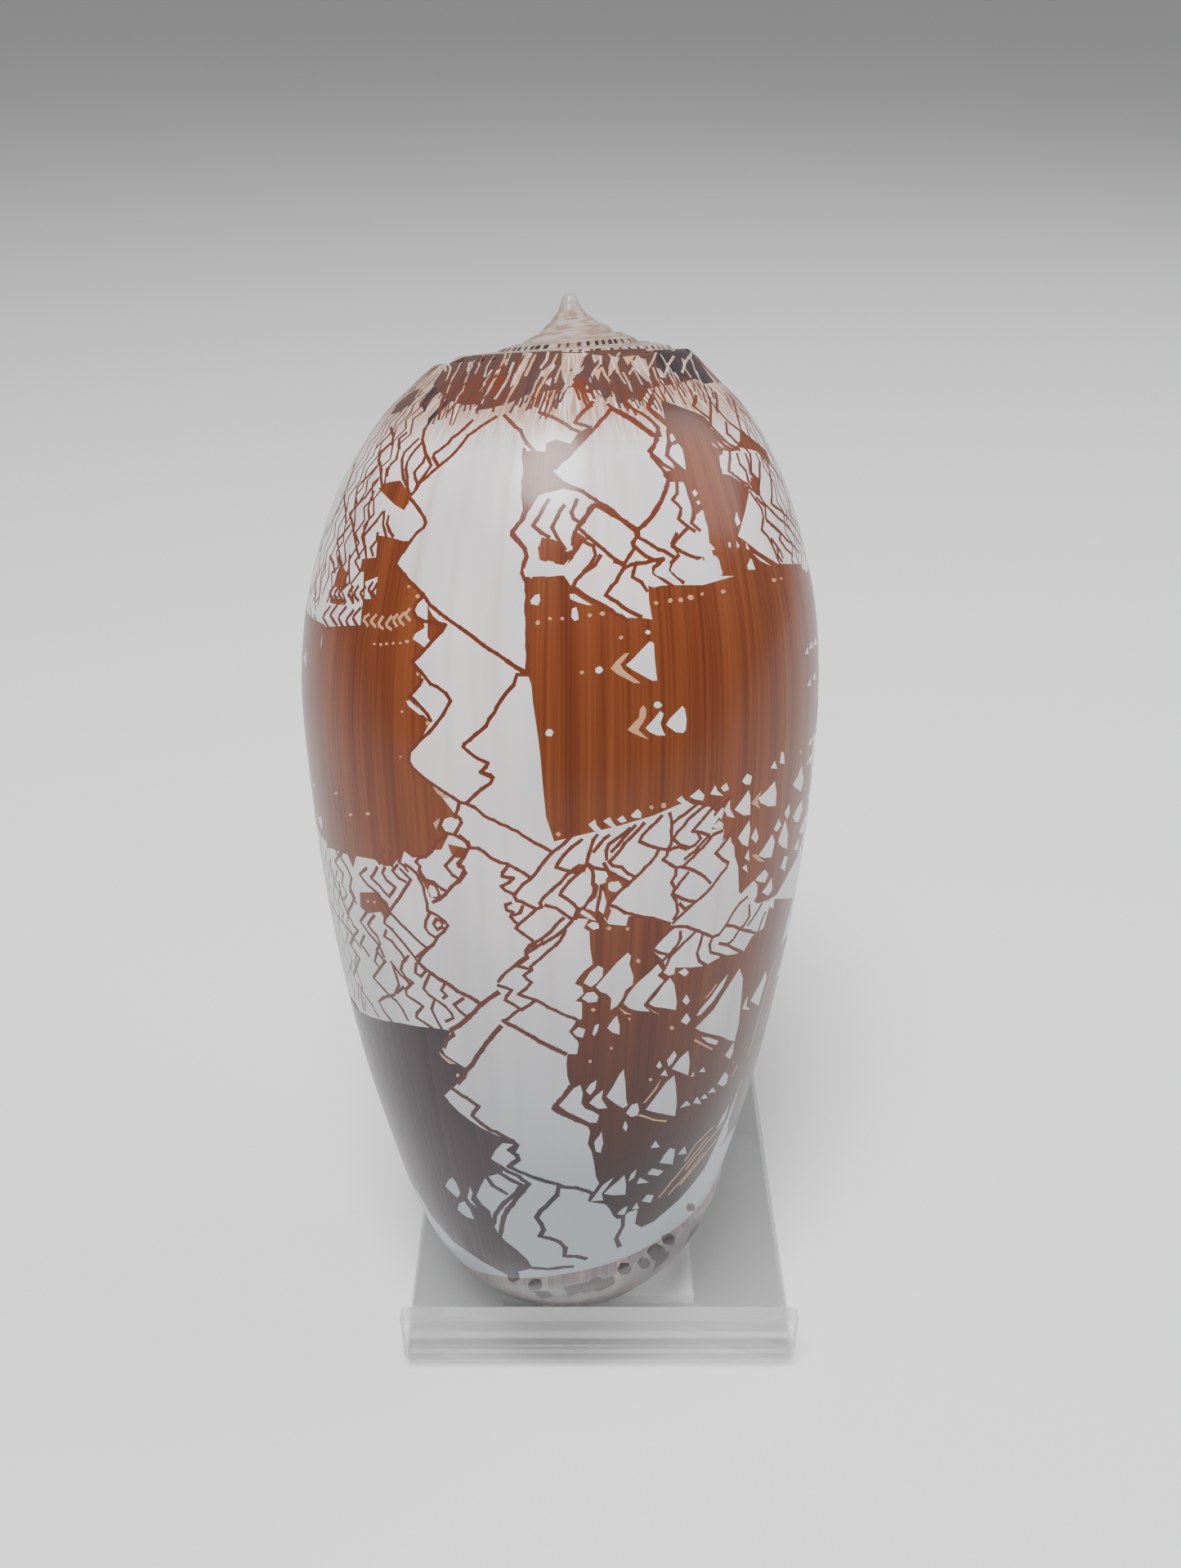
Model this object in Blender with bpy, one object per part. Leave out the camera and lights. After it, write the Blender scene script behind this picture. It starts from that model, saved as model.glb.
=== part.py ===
"""A tent olive seashell that leans back on a small clear display stand.

The shell is one solid. Its outer face is a turned outline whose radius also follows the
spiral of growth, so that the last whorl ends in a free outer lip over a narrow aperture.
The stand is one bent sheet: a base plate with a front lip, and a tongue that is cut out of
the plate and bent up to carry the back of the shell.

Sizes are in millimetres and are turned into metres where a mesh is made.
"""

import math

import bmesh
import bpy
import numpy as np
from mathutils import Matrix, Vector

MM = 0.001

# The shell's outline: (radius, height above the front end), from the apex to the front end
OUTLINE = [
    (0.02, 90.00), (0.38, 89.90), (0.62, 89.50), (1.00, 88.70), (2.15, 87.65), (3.95, 86.75),
    (6.30, 86.05), (8.90, 85.70), (10.05, 85.15), (11.85, 83.50), (13.98, 81.50), (16.15, 78.50),
    (17.98, 75.00), (19.40, 71.00), (20.65, 66.00), (21.25, 60.00), (21.15, 54.00), (20.75, 47.00),
    (20.05, 40.00), (19.05, 33.00), (17.75, 26.00), (16.05, 19.00), (14.40, 13.00), (12.65, 8.00),
    (10.50, 4.00), (8.30, 1.50), (5.80, 0.30),
]

# Growth angles in degrees: 0 is the right side, 90 the back of the shell, 180 the left side
LIP_ANGLE = 240.0
INNER_ANGLE = LIP_ANGLE - 360.0
CLEAR_ANGLE = 25.0
STEP_ANGLE = 2.0
CAVITY_ANGLE = 150.0
CORE_TAPER = 0.12
LIP_CURL = 0.02
LIP_CURL_ANGLE = 40.0
LIP_ROUND_ANGLE = 2.5

# Values at a height of the shell: (height, value)
SIDE_GROWTH = [(0, 0.03), (50, 0.026), (60, 0.03), (80, 0.022), (84, 0.04), (90, 0.04)]
SIDE_GROWTH_RADII = (4.0, 12.0)
STEP_UNDER_LIP = [(0, 3.0), (5, 5.8), (13, 6.0), (26, 5.4), (40, 4.8), (54, 4.1), (66, 3.5),
                  (75, 2.6), (80, 1.6), (83.5, 0.5), (85, 0.0), (90, 0.0)]
LIP_WALL = [(0, 0.9), (5, 1.2), (13, 1.5), (40, 1.8), (66, 1.7), (75, 1.4), (80, 1.1),
            (83.5, 0.6), (85, 0.3), (90, 0.3)]
OPEN_SLIT = 0.3
FULL_CURL_STEP = 3.0
LIP_TIP_INSET = 0.45
LIP_TIP_REACH = 0.6

# The front end: bent towards the aperture and a little flat, higher on that side, with a notch
END_BEND = 3.2
END_BEND_HEIGHT = 13.0
END_FLAT = 0.07
APERTURE_RISE = 0.9
NOTCH_RISE = 3.4
NOTCH_ANGLES = (135.0, 215.0)
NOTCH_HEIGHT = 15.0

# The band round the front end stands proud below this line: (growth angle, height)
BAND_LINE = [(-120, 19.0), (-60, 17.5), (0, 15.5), (50, 13.2), (90, 11.0), (120, 8.6), (150, 5.6),
             (180, 2.5), (240, -2.0)]
BAND_PROUD = 0.35
BAND_EDGE = 0.9
BAND_FADE_ANGLE = 60.0
BAND_FADE_HEIGHT = 2.5

# Whorl edges on the spire, each with a channel on its inner side
EDGE_RADIUS = 10.3
EDGE_RATIO = 0.64
EDGE_SWAY = 0.07
WHORLS = 5
CHANNEL_WIDTH = 0.085
CHANNEL_SPAN = 2.2
CHANNEL_DEPTH = 0.5
CHANNEL_RADII = (10.5, 12.0)

# The whorls run down to the left, so the top is higher on the right by twice this
TOP_TILT = 0.45
TILT_HEIGHTS = (72.0, 84.0)
TILT_RADIUS = 3.0

# Levels of the loft, as distances along the outline: (first, last, number of steps)
LEVEL_RUNS = [(0.0, 3.6, 7), (3.6, 12.4, 15), (12.4, 26.0, 7), (26.0, 82.0, 15), (82.0, 96.6, 8)]
CURVE_STEPS = 24
OUTER_POINTS = 56
CAVITY_POINTS = 14

# The shell's place: its front end on the axis, how far it leans back and to its right
FOOT = (0.30, -12.45, 1.5)
LEAN = 15.1
SIDE_LEAN = 0.4

# The stand
STAND_X = 3.3
STAND_WIDTH = 35.8
SHEET = 2.0
LIP_SHEET = 1.45
LIP_HEIGHT = 7.6
LIP_FRONT = -21.65
PLATE_BACK = 23.0
BEND_INSIDE = 0.9
BEND_OUTSIDE = 2.2
WINDOW_WIDTH = 18.4
WINDOW_FRONT = -15.2
TONGUE_WIDTH = 17.4
TONGUE_LEAN = 30.0
TONGUE_BEND = 0.8
TONGUE_FOOT = 1.4
TONGUE_ROOT = 4.0
CUT_PAST_BEND = 0.6
ARC_STEPS = 6
EDGE_BEVEL = 0.22


def smooth_step(x):
    """0 below 0, 1 above 1, and a smooth rise between."""
    t = np.clip(x, 0.0, 1.0)
    return t * t * (3 - 2 * t)


def ramp(x, first, last):
    """A smooth rise from 0 at the first value to 1 at the last."""
    return smooth_step((x - first) / (last - first))


def table(pairs, x):
    """A value from a short table of (x, value) pairs, on straight runs between them."""
    return np.interp(x, [p[0] for p in pairs], [p[1] for p in pairs])


def smooth_outline(points):
    """A Catmull-Rom curve through the points, as a fine run of (radius, height)."""
    p = np.array(points, float)
    p = np.vstack([2 * p[0] - p[1], p, 2 * p[-1] - p[-2]])
    run = []
    for a, b, c, d in zip(p[:-3], p[1:-2], p[2:-1], p[3:]):
        for t in np.arange(CURVE_STEPS) / CURVE_STEPS:
            run.append(0.5 * (2 * b + (c - a) * t + (2 * a - 5 * b + 4 * c - d) * t**2
                              + (3 * b - a - 3 * c + d) * t**3))
    run.append(p[-2])
    return np.array(run)


def outline_levels():
    """(radius, height) at each level of the loft, from the apex to the front end."""
    run = smooth_outline(OUTLINE)
    along = np.concatenate([[0], np.cumsum(np.linalg.norm(np.diff(run, axis=0), axis=1))])
    wanted = [np.linspace(a, b, n, endpoint=False) for a, b, n in LEVEL_RUNS]
    share = np.concatenate(wanted + [[LEVEL_RUNS[-1][1]]]) / LEVEL_RUNS[-1][1]
    at = share * along[-1]
    return np.interp(at, along, run[:, 0]), np.interp(at, along, run[:, 1])


def edge_radius(growth):
    """Radius of the whorl edge at an unwrapped growth angle."""
    turns = (180.0 - growth) / 360.0
    return EDGE_RADIUS * EDGE_RATIO**turns * (1 + EDGE_SWAY * (1 + np.cos(np.radians(growth))))


def channel_depth(growth, radius):
    """How far the channels beside the whorl edges sink the top of the shell."""
    sunk = 0.0
    for whorl in range(WHORLS):
        edge = edge_radius(growth - 360.0 * whorl)
        inward = (edge - radius) / (CHANNEL_WIDTH * edge)
        size = CHANNEL_DEPTH * edge / EDGE_RADIUS
        sunk += size * smooth_step(inward) * smooth_step(CHANNEL_SPAN - inward)
    return sunk


def outer_point(growth, radius, height):
    """A point of the outer face, in the shell's own frame."""
    turn = np.radians(growth)
    step = table(STEP_UNDER_LIP, height)
    under = np.clip((CLEAR_ANGLE - growth) / (CLEAR_ANGLE - INNER_ANGLE), 0, 1) ** 2
    curl = np.clip((growth - LIP_ANGLE + LIP_CURL_ANGLE) / LIP_CURL_ANGLE, 0, 1) ** 2
    body = ramp(radius, *SIDE_GROWTH_RADII)
    proud = BAND_PROUD * smooth_step((table(BAND_LINE, growth) - height) / BAND_EDGE)
    fade = smooth_step((LIP_ANGLE - growth) / BAND_FADE_ANGLE)
    fade *= smooth_step((growth - INNER_ANGLE) / BAND_FADE_ANGLE)
    r = radius * (1 - table(SIDE_GROWTH, height) * np.cos(turn) * body) - step * under
    r -= LIP_CURL * radius * curl * np.minimum(1, step / FULL_CURL_STEP)
    r += proud * fade * ramp(height, 0, BAND_FADE_HEIGHT)
    h = lifted(growth, height) - channel_depth(growth, radius) * (1 - ramp(radius, *CHANNEL_RADII))
    tilt = ramp(height, *TILT_HEIGHTS) * ramp(radius, 0, TILT_RADIUS)
    return r, h + TOP_TILT * np.cos(turn) * tilt


def lifted(growth, height):
    """The height of the wall where the notch and the aperture's side lift its front edge."""
    rise = NOTCH_RISE * ramp(growth, *NOTCH_ANGLES)
    rise += APERTURE_RISE * (1 - math.sin(math.radians(growth))) / 2
    return height + rise * np.clip(1 - height / NOTCH_HEIGHT, 0, 1) ** 2


def placed(r, growth, height):
    """A point of the shell's own frame from its radius, growth angle and height."""
    turn = math.radians(growth)
    near_end = max(0.0, 1 - height / END_BEND_HEIGHT) ** 2
    across = r * (1 - END_FLAT * near_end)
    return Vector((r * math.cos(turn), END_BEND * near_end - across * math.sin(turn), height))


def level_ring(radius, height):
    """One closed ring: the outer face from the lip back to the inner side, then the cavity."""
    step = float(table(STEP_UNDER_LIP, height))
    wall = float(table(LIP_WALL, height))
    opened = float(smooth_step((step - wall) / OPEN_SLIT))
    ring = []
    for growth in np.linspace(LIP_ANGLE - LIP_ROUND_ANGLE, INNER_ANGLE + STEP_ANGLE, OUTER_POINTS):
        r, h = outer_point(growth, radius, height)
        ring.append(placed(r, growth, h))
    start = outer_point(INNER_ANGLE + STEP_ANGLE, radius, height)
    end = outer_point(LIP_ANGLE, radius, height)
    count = 2 * CAVITY_POINTS
    for k in range(1, count + 1):
        share = k / (count + 1)
        shut_angle = INNER_ANGLE + STEP_ANGLE * (1 - share)
        shut_r = start[0] + (end[0] - start[0]) * share
        shut_h = start[1] + (end[1] - start[1]) * share
        if k <= CAVITY_POINTS:
            deep = k / CAVITY_POINTS
            angle = INNER_ANGLE - CAVITY_ANGLE * deep
            r = start[0] * (1 - CORE_TAPER * deep)
            h = start[1]
        else:
            deep = (count - k) / (CAVITY_POINTS - 1)
            growth = LIP_ANGLE - CAVITY_ANGLE * deep
            angle = growth - 360.0
            r, h = outer_point(growth, radius, height)
            r -= wall
        angle = shut_angle + (angle - shut_angle) * opened
        r = shut_r + (r - shut_r) * opened
        h = shut_h + (h - shut_h) * opened
        ring.append(placed(r, angle, h))
    r, h = outer_point(LIP_ANGLE, radius, height)
    tip_r = r - LIP_TIP_INSET * wall * opened
    ring.append(placed(tip_r, LIP_ANGLE + LIP_TIP_REACH * opened, h))
    return ring


def new_mesh(name, bm, material):
    """A mesh object from a bmesh in millimetres, in metres and in the object's collection."""
    mesh = bpy.data.meshes.new(name)
    bmesh.ops.recalc_face_normals(bm, faces=bm.faces)
    bm.to_mesh(mesh)
    bm.free()
    mesh.transform(Matrix.Scale(MM, 4))
    mesh.materials.append(material)
    made = bpy.data.objects.new(name, mesh)
    PARTS.objects.link(made)
    return made


def make_shell():
    """The shell: rings joined level by level, closed at the apex and at the front end."""
    bm = bmesh.new()
    radii, heights = outline_levels()
    rings = [[bm.verts.new(p) for p in level_ring(r, h)] for r, h in zip(radii, heights)]
    for upper, lower in zip(rings[:-1], rings[1:]):
        count = len(upper)
        for i in range(count):
            j = (i + 1) % count
            bm.faces.new((upper[i], upper[j], lower[j], lower[i]))
    bm.faces.new(rings[0])
    bm.faces.new(reversed(rings[-1]))
    bmesh.ops.triangulate(bm, faces=[f for f in bm.faces if len(f.verts) > 4])
    shell = new_mesh("shell", bm, plain_material("shell", (0.62, 0.50, 0.44), 0.25))
    shell.data.shade_smooth()
    shell.location = Vector(FOOT) * MM
    shell.rotation_euler = (math.radians(-LEAN), math.radians(SIDE_LEAN), 0)
    return shell


def arc(centre, radius, first, last):
    """Points on an arc between two angles in degrees, in the side view (y, z)."""
    turns = np.radians(np.linspace(first, last, ARC_STEPS + 1))
    return [(centre[0] + radius * math.cos(a), centre[1] + radius * math.sin(a)) for a in turns]


def eased(before, corner, after):
    """A corner of a side view, cut off a little: two points towards its neighbours."""
    corner = np.array(corner)
    cuts = []
    for neighbour in (before, after):
        away = np.array(neighbour) - corner
        cuts.append(tuple(corner + away * EDGE_BEVEL / np.linalg.norm(away)))
    return cuts


def side_outline(name, points, width):
    """A solid with a side outline (y, z) across the stand; both of its ends are bevelled."""
    curve = bpy.data.curves.new(name, "CURVE")
    curve.dimensions = "2D"
    curve.fill_mode = "BOTH"
    curve.extrude = (width / 2 - EDGE_BEVEL) * MM
    curve.bevel_depth = EDGE_BEVEL * MM
    curve.bevel_resolution = 0
    curve.offset = -EDGE_BEVEL * MM
    spline = curve.splines.new("POLY")
    spline.points.add(len(points) - 1)
    for point, (y, z) in zip(spline.points, points):
        point.co = (y * MM, z * MM, 0, 1)
    spline.use_cyclic_u = True
    flat = bpy.data.objects.new(name, curve)
    CUTTERS.objects.link(flat)
    flat.matrix_world = Matrix(((0, 0, 1, STAND_X * MM), (1, 0, 0, 0), (0, 1, 0, 0), (0, 0, 0, 1)))
    bpy.context.view_layer.update()
    evaluated = flat.evaluated_get(bpy.context.evaluated_depsgraph_get())
    mesh = bpy.data.meshes.new_from_object(evaluated)
    place = flat.matrix_world.copy()
    bpy.data.objects.remove(flat)
    solid = bpy.data.objects.new(name, mesh)
    solid.matrix_world = place
    bm = bmesh.new()
    bm.from_mesh(mesh)
    bmesh.ops.remove_doubles(bm, verts=bm.verts, dist=1e-6)
    bmesh.ops.recalc_face_normals(bm, faces=bm.faces)
    bm.to_mesh(mesh)
    bm.free()
    return solid


def plate_outline():
    """Side view of the base plate and the lip that is bent up at its front."""
    inner = LIP_FRONT + LIP_SHEET
    low, high = (PLATE_BACK, 0.0), (PLATE_BACK, SHEET)
    top, front = (inner, LIP_HEIGHT), (LIP_FRONT, LIP_HEIGHT)
    inside = arc((inner + BEND_INSIDE, SHEET + BEND_INSIDE), BEND_INSIDE, 270, 180)
    outside = arc((LIP_FRONT + BEND_OUTSIDE, BEND_OUTSIDE), BEND_OUTSIDE, 180, 270)
    return (eased(outside[-1], low, high) + eased(low, high, inside[0]) + inside
            + eased(inside[-1], top, front) + eased(top, front, outside[0]) + outside)


def tongue_outline():
    """Side view of the tongue: flat in the plate, round the bend, then up and leaning back."""
    centre = (TONGUE_FOOT, SHEET + TONGUE_BEND)
    last = 180 - TONGUE_LEAN
    outer = arc(centre, TONGUE_BEND + SHEET, 270, last)
    inner = arc(centre, TONGUE_BEND, last, 270)
    bent = math.radians(270 - last) * (TONGUE_BEND + SHEET / 2)
    straight = TONGUE_FOOT - WINDOW_FRONT - bent
    lean = math.radians(TONGUE_LEAN)
    up = np.array([math.sin(lean), math.cos(lean)]) * straight
    root = TONGUE_FOOT + TONGUE_ROOT
    back, front = tuple(outer[-1] + up), tuple(inner[0] + up)
    return ([(root, 0.0)] + outer + eased(outer[-1], back, front)
            + eased(back, front, inner[0]) + inner + [(root, SHEET)])


def make_stand():
    """The stand: plate and lip, less the window, joined with the tongue."""
    stand = side_outline("stand", plate_outline(), STAND_WIDTH)
    PARTS.objects.link(stand)
    bpy.ops.object.select_all(action="DESELECT")
    window_length = TONGUE_FOOT + CUT_PAST_BEND - WINDOW_FRONT
    bpy.ops.mesh.primitive_cube_add(size=1)
    cutter = bpy.context.object
    cutter.name = "window_cutter"
    cutter.scale = (WINDOW_WIDTH * MM, window_length * MM, 4 * SHEET * MM)
    cutter.location = (STAND_X * MM, (WINDOW_FRONT + window_length / 2) * MM, SHEET / 2 * MM)
    hide_helper(cutter)
    tongue = side_outline("tongue", tongue_outline(), TONGUE_WIDTH)
    CUTTERS.objects.link(tongue)
    hide_helper(tongue)
    join_or_cut(stand, cutter, "DIFFERENCE")
    join_or_cut(stand, tongue, "UNION")
    stand.data.materials.clear()
    stand.data.materials.append(plain_material("clear acrylic", (0.85, 0.93, 0.96), 0.08))
    return stand


def join_or_cut(piece, helper, operation):
    """A Boolean on the piece with a helper."""
    change = piece.modifiers.new(helper.name, "BOOLEAN")
    change.object = helper
    change.operation = operation


def hide_helper(helper):
    """A cutter or other helper that is not part of the object."""
    helper.hide_render = True
    helper.display_type = "WIRE"
    for group in list(helper.users_collection):
        group.objects.unlink(helper)
    CUTTERS.objects.link(helper)


def plain_material(name, colour, roughness):
    material = bpy.data.materials.new(name)
    material.use_nodes = True
    shader = material.node_tree.nodes["Principled BSDF"]
    shader.inputs["Base Color"].default_value = (*colour, 1)
    shader.inputs["Roughness"].default_value = roughness
    shader.inputs["Metallic"].default_value = 0
    return material


def new_group(name):
    group = bpy.data.collections.new(name)
    bpy.context.scene.collection.children.link(group)
    return group


for old in list(bpy.data.objects):
    bpy.data.objects.remove(old)
PARTS = new_group("tent olive shell")
CUTTERS = new_group("cutters")
make_shell()
make_stand()
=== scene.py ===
# %% [markdown]
# # A tent olive shell on its clear stand
# A tent olive is a sea snail's shell: smooth as glazed china, pale, and covered with brown
# zigzag lines that close into white tents. Here it leans back on a small bent acrylic stand.
# The solid model is already right in size, so this lesson is about the finish: a finer skin
# over the shell with its markings drawn in, and a clear sheet for the stand.

# %% Load the frame
import math
import random

import bmesh
import bpy
import numpy as np
from mathutils import Matrix, Vector
from mathutils.bvhtree import BVHTree
from mathutils.geometry import delaunay_2d_cdt


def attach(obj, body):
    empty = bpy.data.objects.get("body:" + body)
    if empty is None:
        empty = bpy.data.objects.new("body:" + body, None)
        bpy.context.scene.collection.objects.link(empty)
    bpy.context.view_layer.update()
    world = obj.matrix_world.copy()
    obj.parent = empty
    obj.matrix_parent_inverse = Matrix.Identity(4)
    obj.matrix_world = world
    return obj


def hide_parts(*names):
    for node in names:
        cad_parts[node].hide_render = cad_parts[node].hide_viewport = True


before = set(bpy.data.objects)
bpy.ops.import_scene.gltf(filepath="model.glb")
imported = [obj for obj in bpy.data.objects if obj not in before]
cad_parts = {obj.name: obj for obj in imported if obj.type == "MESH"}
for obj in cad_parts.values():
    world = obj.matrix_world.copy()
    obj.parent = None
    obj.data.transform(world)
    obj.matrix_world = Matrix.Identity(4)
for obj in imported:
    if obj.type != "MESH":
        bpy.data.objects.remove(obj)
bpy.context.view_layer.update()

# %% [markdown]
# ## The shell's outline
# Seen from the side, the shell is a turned form: an outline swept round an axis. The outline
# could be modelled by pulling a curve's handles. Here it is a short list of radius and height
# pairs, in millimetres, with a smooth curve through them, the same one that the solid has. The
# radii began as a fit to the shell's edges in the photograph and were rounded and adjusted.

# %% Sizes and the outline curve
MM = 0.001
OUTLINE = [
    (0.02, 90.00), (0.38, 89.90), (0.62, 89.50), (1.00, 88.70), (2.15, 87.65), (3.95, 86.75),
    (6.30, 86.05), (8.90, 85.70), (10.05, 85.15), (11.85, 83.50), (13.98, 81.50), (16.15, 78.50),
    (17.98, 75.00), (19.40, 71.00), (20.65, 66.00), (21.25, 60.00), (21.15, 54.00), (20.75, 47.00),
    (20.05, 40.00), (19.05, 33.00), (17.75, 26.00), (16.05, 19.00), (14.40, 13.00), (12.65, 8.00),
    (10.50, 4.00), (8.30, 1.50), (5.80, 0.30),
]
FOOT = (0.30, -12.45, 1.5)
LEAN = 15.1
SIDE_LEAN = 0.4
CURVE_STEPS = 24


def smooth_step(x):
    """0 below 0, 1 above 1, and a smooth rise between."""
    t = np.clip(x, 0.0, 1.0)
    return t * t * (3 - 2 * t)


def ramp(x, first, last):
    """A smooth rise from 0 at the first value to 1 at the last."""
    return smooth_step((x - first) / (last - first))


def table(pairs, x):
    """A value from a short table of pairs, on straight runs between them."""
    return np.interp(x, [p[0] for p in pairs], [p[1] for p in pairs])


def smooth_outline(points):
    """A Catmull-Rom curve through the points, as a fine run of radius and height."""
    p = np.array(points, float)
    p = np.vstack([2 * p[0] - p[1], p, 2 * p[-1] - p[-2]])
    run = []
    for a, b, c, d in zip(p[:-3], p[1:-2], p[2:-1], p[3:]):
        for t in np.arange(CURVE_STEPS) / CURVE_STEPS:
            run.append(0.5 * (2 * b + (c - a) * t + (2 * a - 5 * b + 4 * c - d) * t**2
                              + (3 * b - a - 3 * c + d) * t**3))
    run.append(p[-2])
    return np.array(run)


RUN = smooth_outline(OUTLINE)
ALONG = np.concatenate([[0], np.cumsum(np.linalg.norm(np.diff(RUN, axis=0), axis=1))])
LENGTH = ALONG[-1]


def outline_at(along):
    """Radius and height at a distance along the outline from the apex."""
    return np.interp(along, ALONG, RUN[:, 0]), np.interp(along, ALONG, RUN[:, 1])


print("outline is %.1f mm long, widest %.1f mm" % (LENGTH, 2 * RUN[:, 0].max()))

# %% [markdown]
# ## Growth round the axis
# A snail builds its shell by adding to the lip, so everything depends on the growth angle:
# 0 on the right, 90 on the shell's back (towards the camera), 180 on the left, and the lip at
# 240. Under the lip the last whorl sits lower than the lip itself, and that step is the
# aperture. A displacement modifier could fake this, but a formula gives a true open mouth.

# %% Growth values
LIP_ANGLE = 240.0
INNER_ANGLE = LIP_ANGLE - 360.0
CLEAR_ANGLE = 25.0
STEP_ANGLE = 2.0
CAVITY_ANGLE = 150.0
CORE_TAPER = 0.12
LIP_CURL = 0.02
LIP_CURL_ANGLE = 40.0
FULL_CURL_STEP = 3.0
LIP_ROUND_ANGLE = 2.5
LIP_ROUND_HALF = 0.5
SIDE_GROWTH_RADII = (4.0, 12.0)
SIDE_GROWTH = [(0, 0.03), (50, 0.026), (60, 0.03), (80, 0.022), (84, 0.04), (90, 0.04)]
STEP_UNDER_LIP = [(0, 3.0), (5, 5.8), (13, 6.0), (26, 5.4), (40, 4.8), (54, 4.1), (66, 3.5),
                  (75, 2.6), (80, 1.6), (83.5, 0.5), (85, 0.0), (90, 0.0)]
LIP_WALL = [(0, 0.9), (5, 1.2), (13, 1.5), (40, 1.8), (66, 1.7), (75, 1.4), (80, 1.1),
            (83.5, 0.6), (85, 0.3), (90, 0.3)]
OPEN_SLIT = 0.3
END_BEND = 3.2
END_BEND_HEIGHT = 13.0
END_FLAT = 0.07
APERTURE_RISE = 0.9
NOTCH_RISE = 3.4
NOTCH_ANGLES = (135.0, 215.0)
NOTCH_HEIGHT = 15.0
BAND_LINE = [(-120, 19.0), (-60, 17.5), (0, 15.5), (50, 13.2), (90, 11.0), (120, 8.6), (150, 5.6),
             (180, 2.5), (240, -2.0)]
BAND_PROUD = 0.35
BAND_EDGE = 0.9
BAND_FADE_ANGLE = 60.0
BAND_FADE_HEIGHT = 2.5
EDGE_RADIUS = 10.3
EDGE_RATIO = 0.64
EDGE_SWAY = 0.07
WHORLS = 5
CHANNEL_WIDTH = 0.085
CHANNEL_DEPTH = 0.5
CHANNEL_SPAN = 2.2
CHANNEL_RADII = (10.5, 12.0)
TOP_TILT = 0.45
TILT_HEIGHTS = (72.0, 84.0)
TILT_RADIUS = 3.0

print("lip at %d degrees, its step up to %.1f mm" % (LIP_ANGLE, max(s for _, s in STEP_UNDER_LIP)))

# %% [markdown]
# ## The skin as one formula
# Each height of the shell is a closed ring. A ring coordinate runs from the blind end of the
# aperture out along its inner wall, round the outside of the shell, over the lip and back
# inside. Writing the whole skin as a formula of ring coordinate and distance along the outline
# means that a mark drawn flat in those two numbers lands on the shell exactly.

# %% Points of the skin
OUTER_FIRST = INNER_ANGLE + STEP_ANGLE
OUTER_LAST = LIP_ANGLE - LIP_ROUND_ANGLE
LIP_INSIDE = LIP_ANGLE + LIP_ROUND_ANGLE
CAVITY_RUN = 60.0
BLIND_RUN = 4.0
RING_FIRST = OUTER_FIRST - CAVITY_RUN - BLIND_RUN
RING_LAST = LIP_INSIDE + CAVITY_RUN + BLIND_RUN


def edge_radius(growth):
    """Radius of the whorl's shoulder edge at an unwrapped growth angle."""
    turns = (180.0 - growth) / 360.0
    return EDGE_RADIUS * EDGE_RATIO**turns * (1 + EDGE_SWAY * (1 + np.cos(np.radians(growth))))


def channel_depth(growth, radius):
    """How far the channels inside the whorl edges sink the top of the shell."""
    sunk = 0.0
    for whorl in range(WHORLS):
        edge = edge_radius(growth - 360.0 * whorl)
        inward = (edge - radius) / (CHANNEL_WIDTH * edge)
        size = CHANNEL_DEPTH * edge / EDGE_RADIUS
        sunk = sunk + size * smooth_step(inward) * smooth_step(CHANNEL_SPAN - inward)
    return sunk


def lifted(growth, height):
    """Height of the wall where the notch and the aperture's side lift its front edge."""
    rise = NOTCH_RISE * ramp(growth, *NOTCH_ANGLES)
    rise = rise + APERTURE_RISE * (1 - np.sin(np.radians(growth))) / 2
    return height + rise * np.clip(1 - height / NOTCH_HEIGHT, 0, 1) ** 2


def outer_point(growth, radius, height):
    """Radius and height of the outer face."""
    turn = np.radians(growth)
    step = table(STEP_UNDER_LIP, height)
    under = np.clip((CLEAR_ANGLE - growth) / (CLEAR_ANGLE - INNER_ANGLE), 0, 1) ** 2
    curl = np.clip((growth - LIP_ANGLE + LIP_CURL_ANGLE) / LIP_CURL_ANGLE, 0, 1) ** 2
    body = ramp(radius, *SIDE_GROWTH_RADII)
    proud = BAND_PROUD * smooth_step((table(BAND_LINE, growth) - height) / BAND_EDGE)
    fade = smooth_step((LIP_ANGLE - growth) / BAND_FADE_ANGLE)
    fade = fade * smooth_step((growth - INNER_ANGLE) / BAND_FADE_ANGLE)
    r = radius * (1 - table(SIDE_GROWTH, height) * np.cos(turn) * body) - step * under
    r = r - LIP_CURL * radius * curl * np.minimum(1, step / FULL_CURL_STEP)
    r = r + proud * fade * ramp(height, 0, BAND_FADE_HEIGHT)
    channelled = channel_depth(growth, radius) * (1 - ramp(radius, *CHANNEL_RADII))
    h = lifted(growth, height) - channelled
    tilt = ramp(height, *TILT_HEIGHTS) * ramp(radius, 0, TILT_RADIUS)
    return r, h + TOP_TILT * np.cos(turn) * tilt


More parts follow.
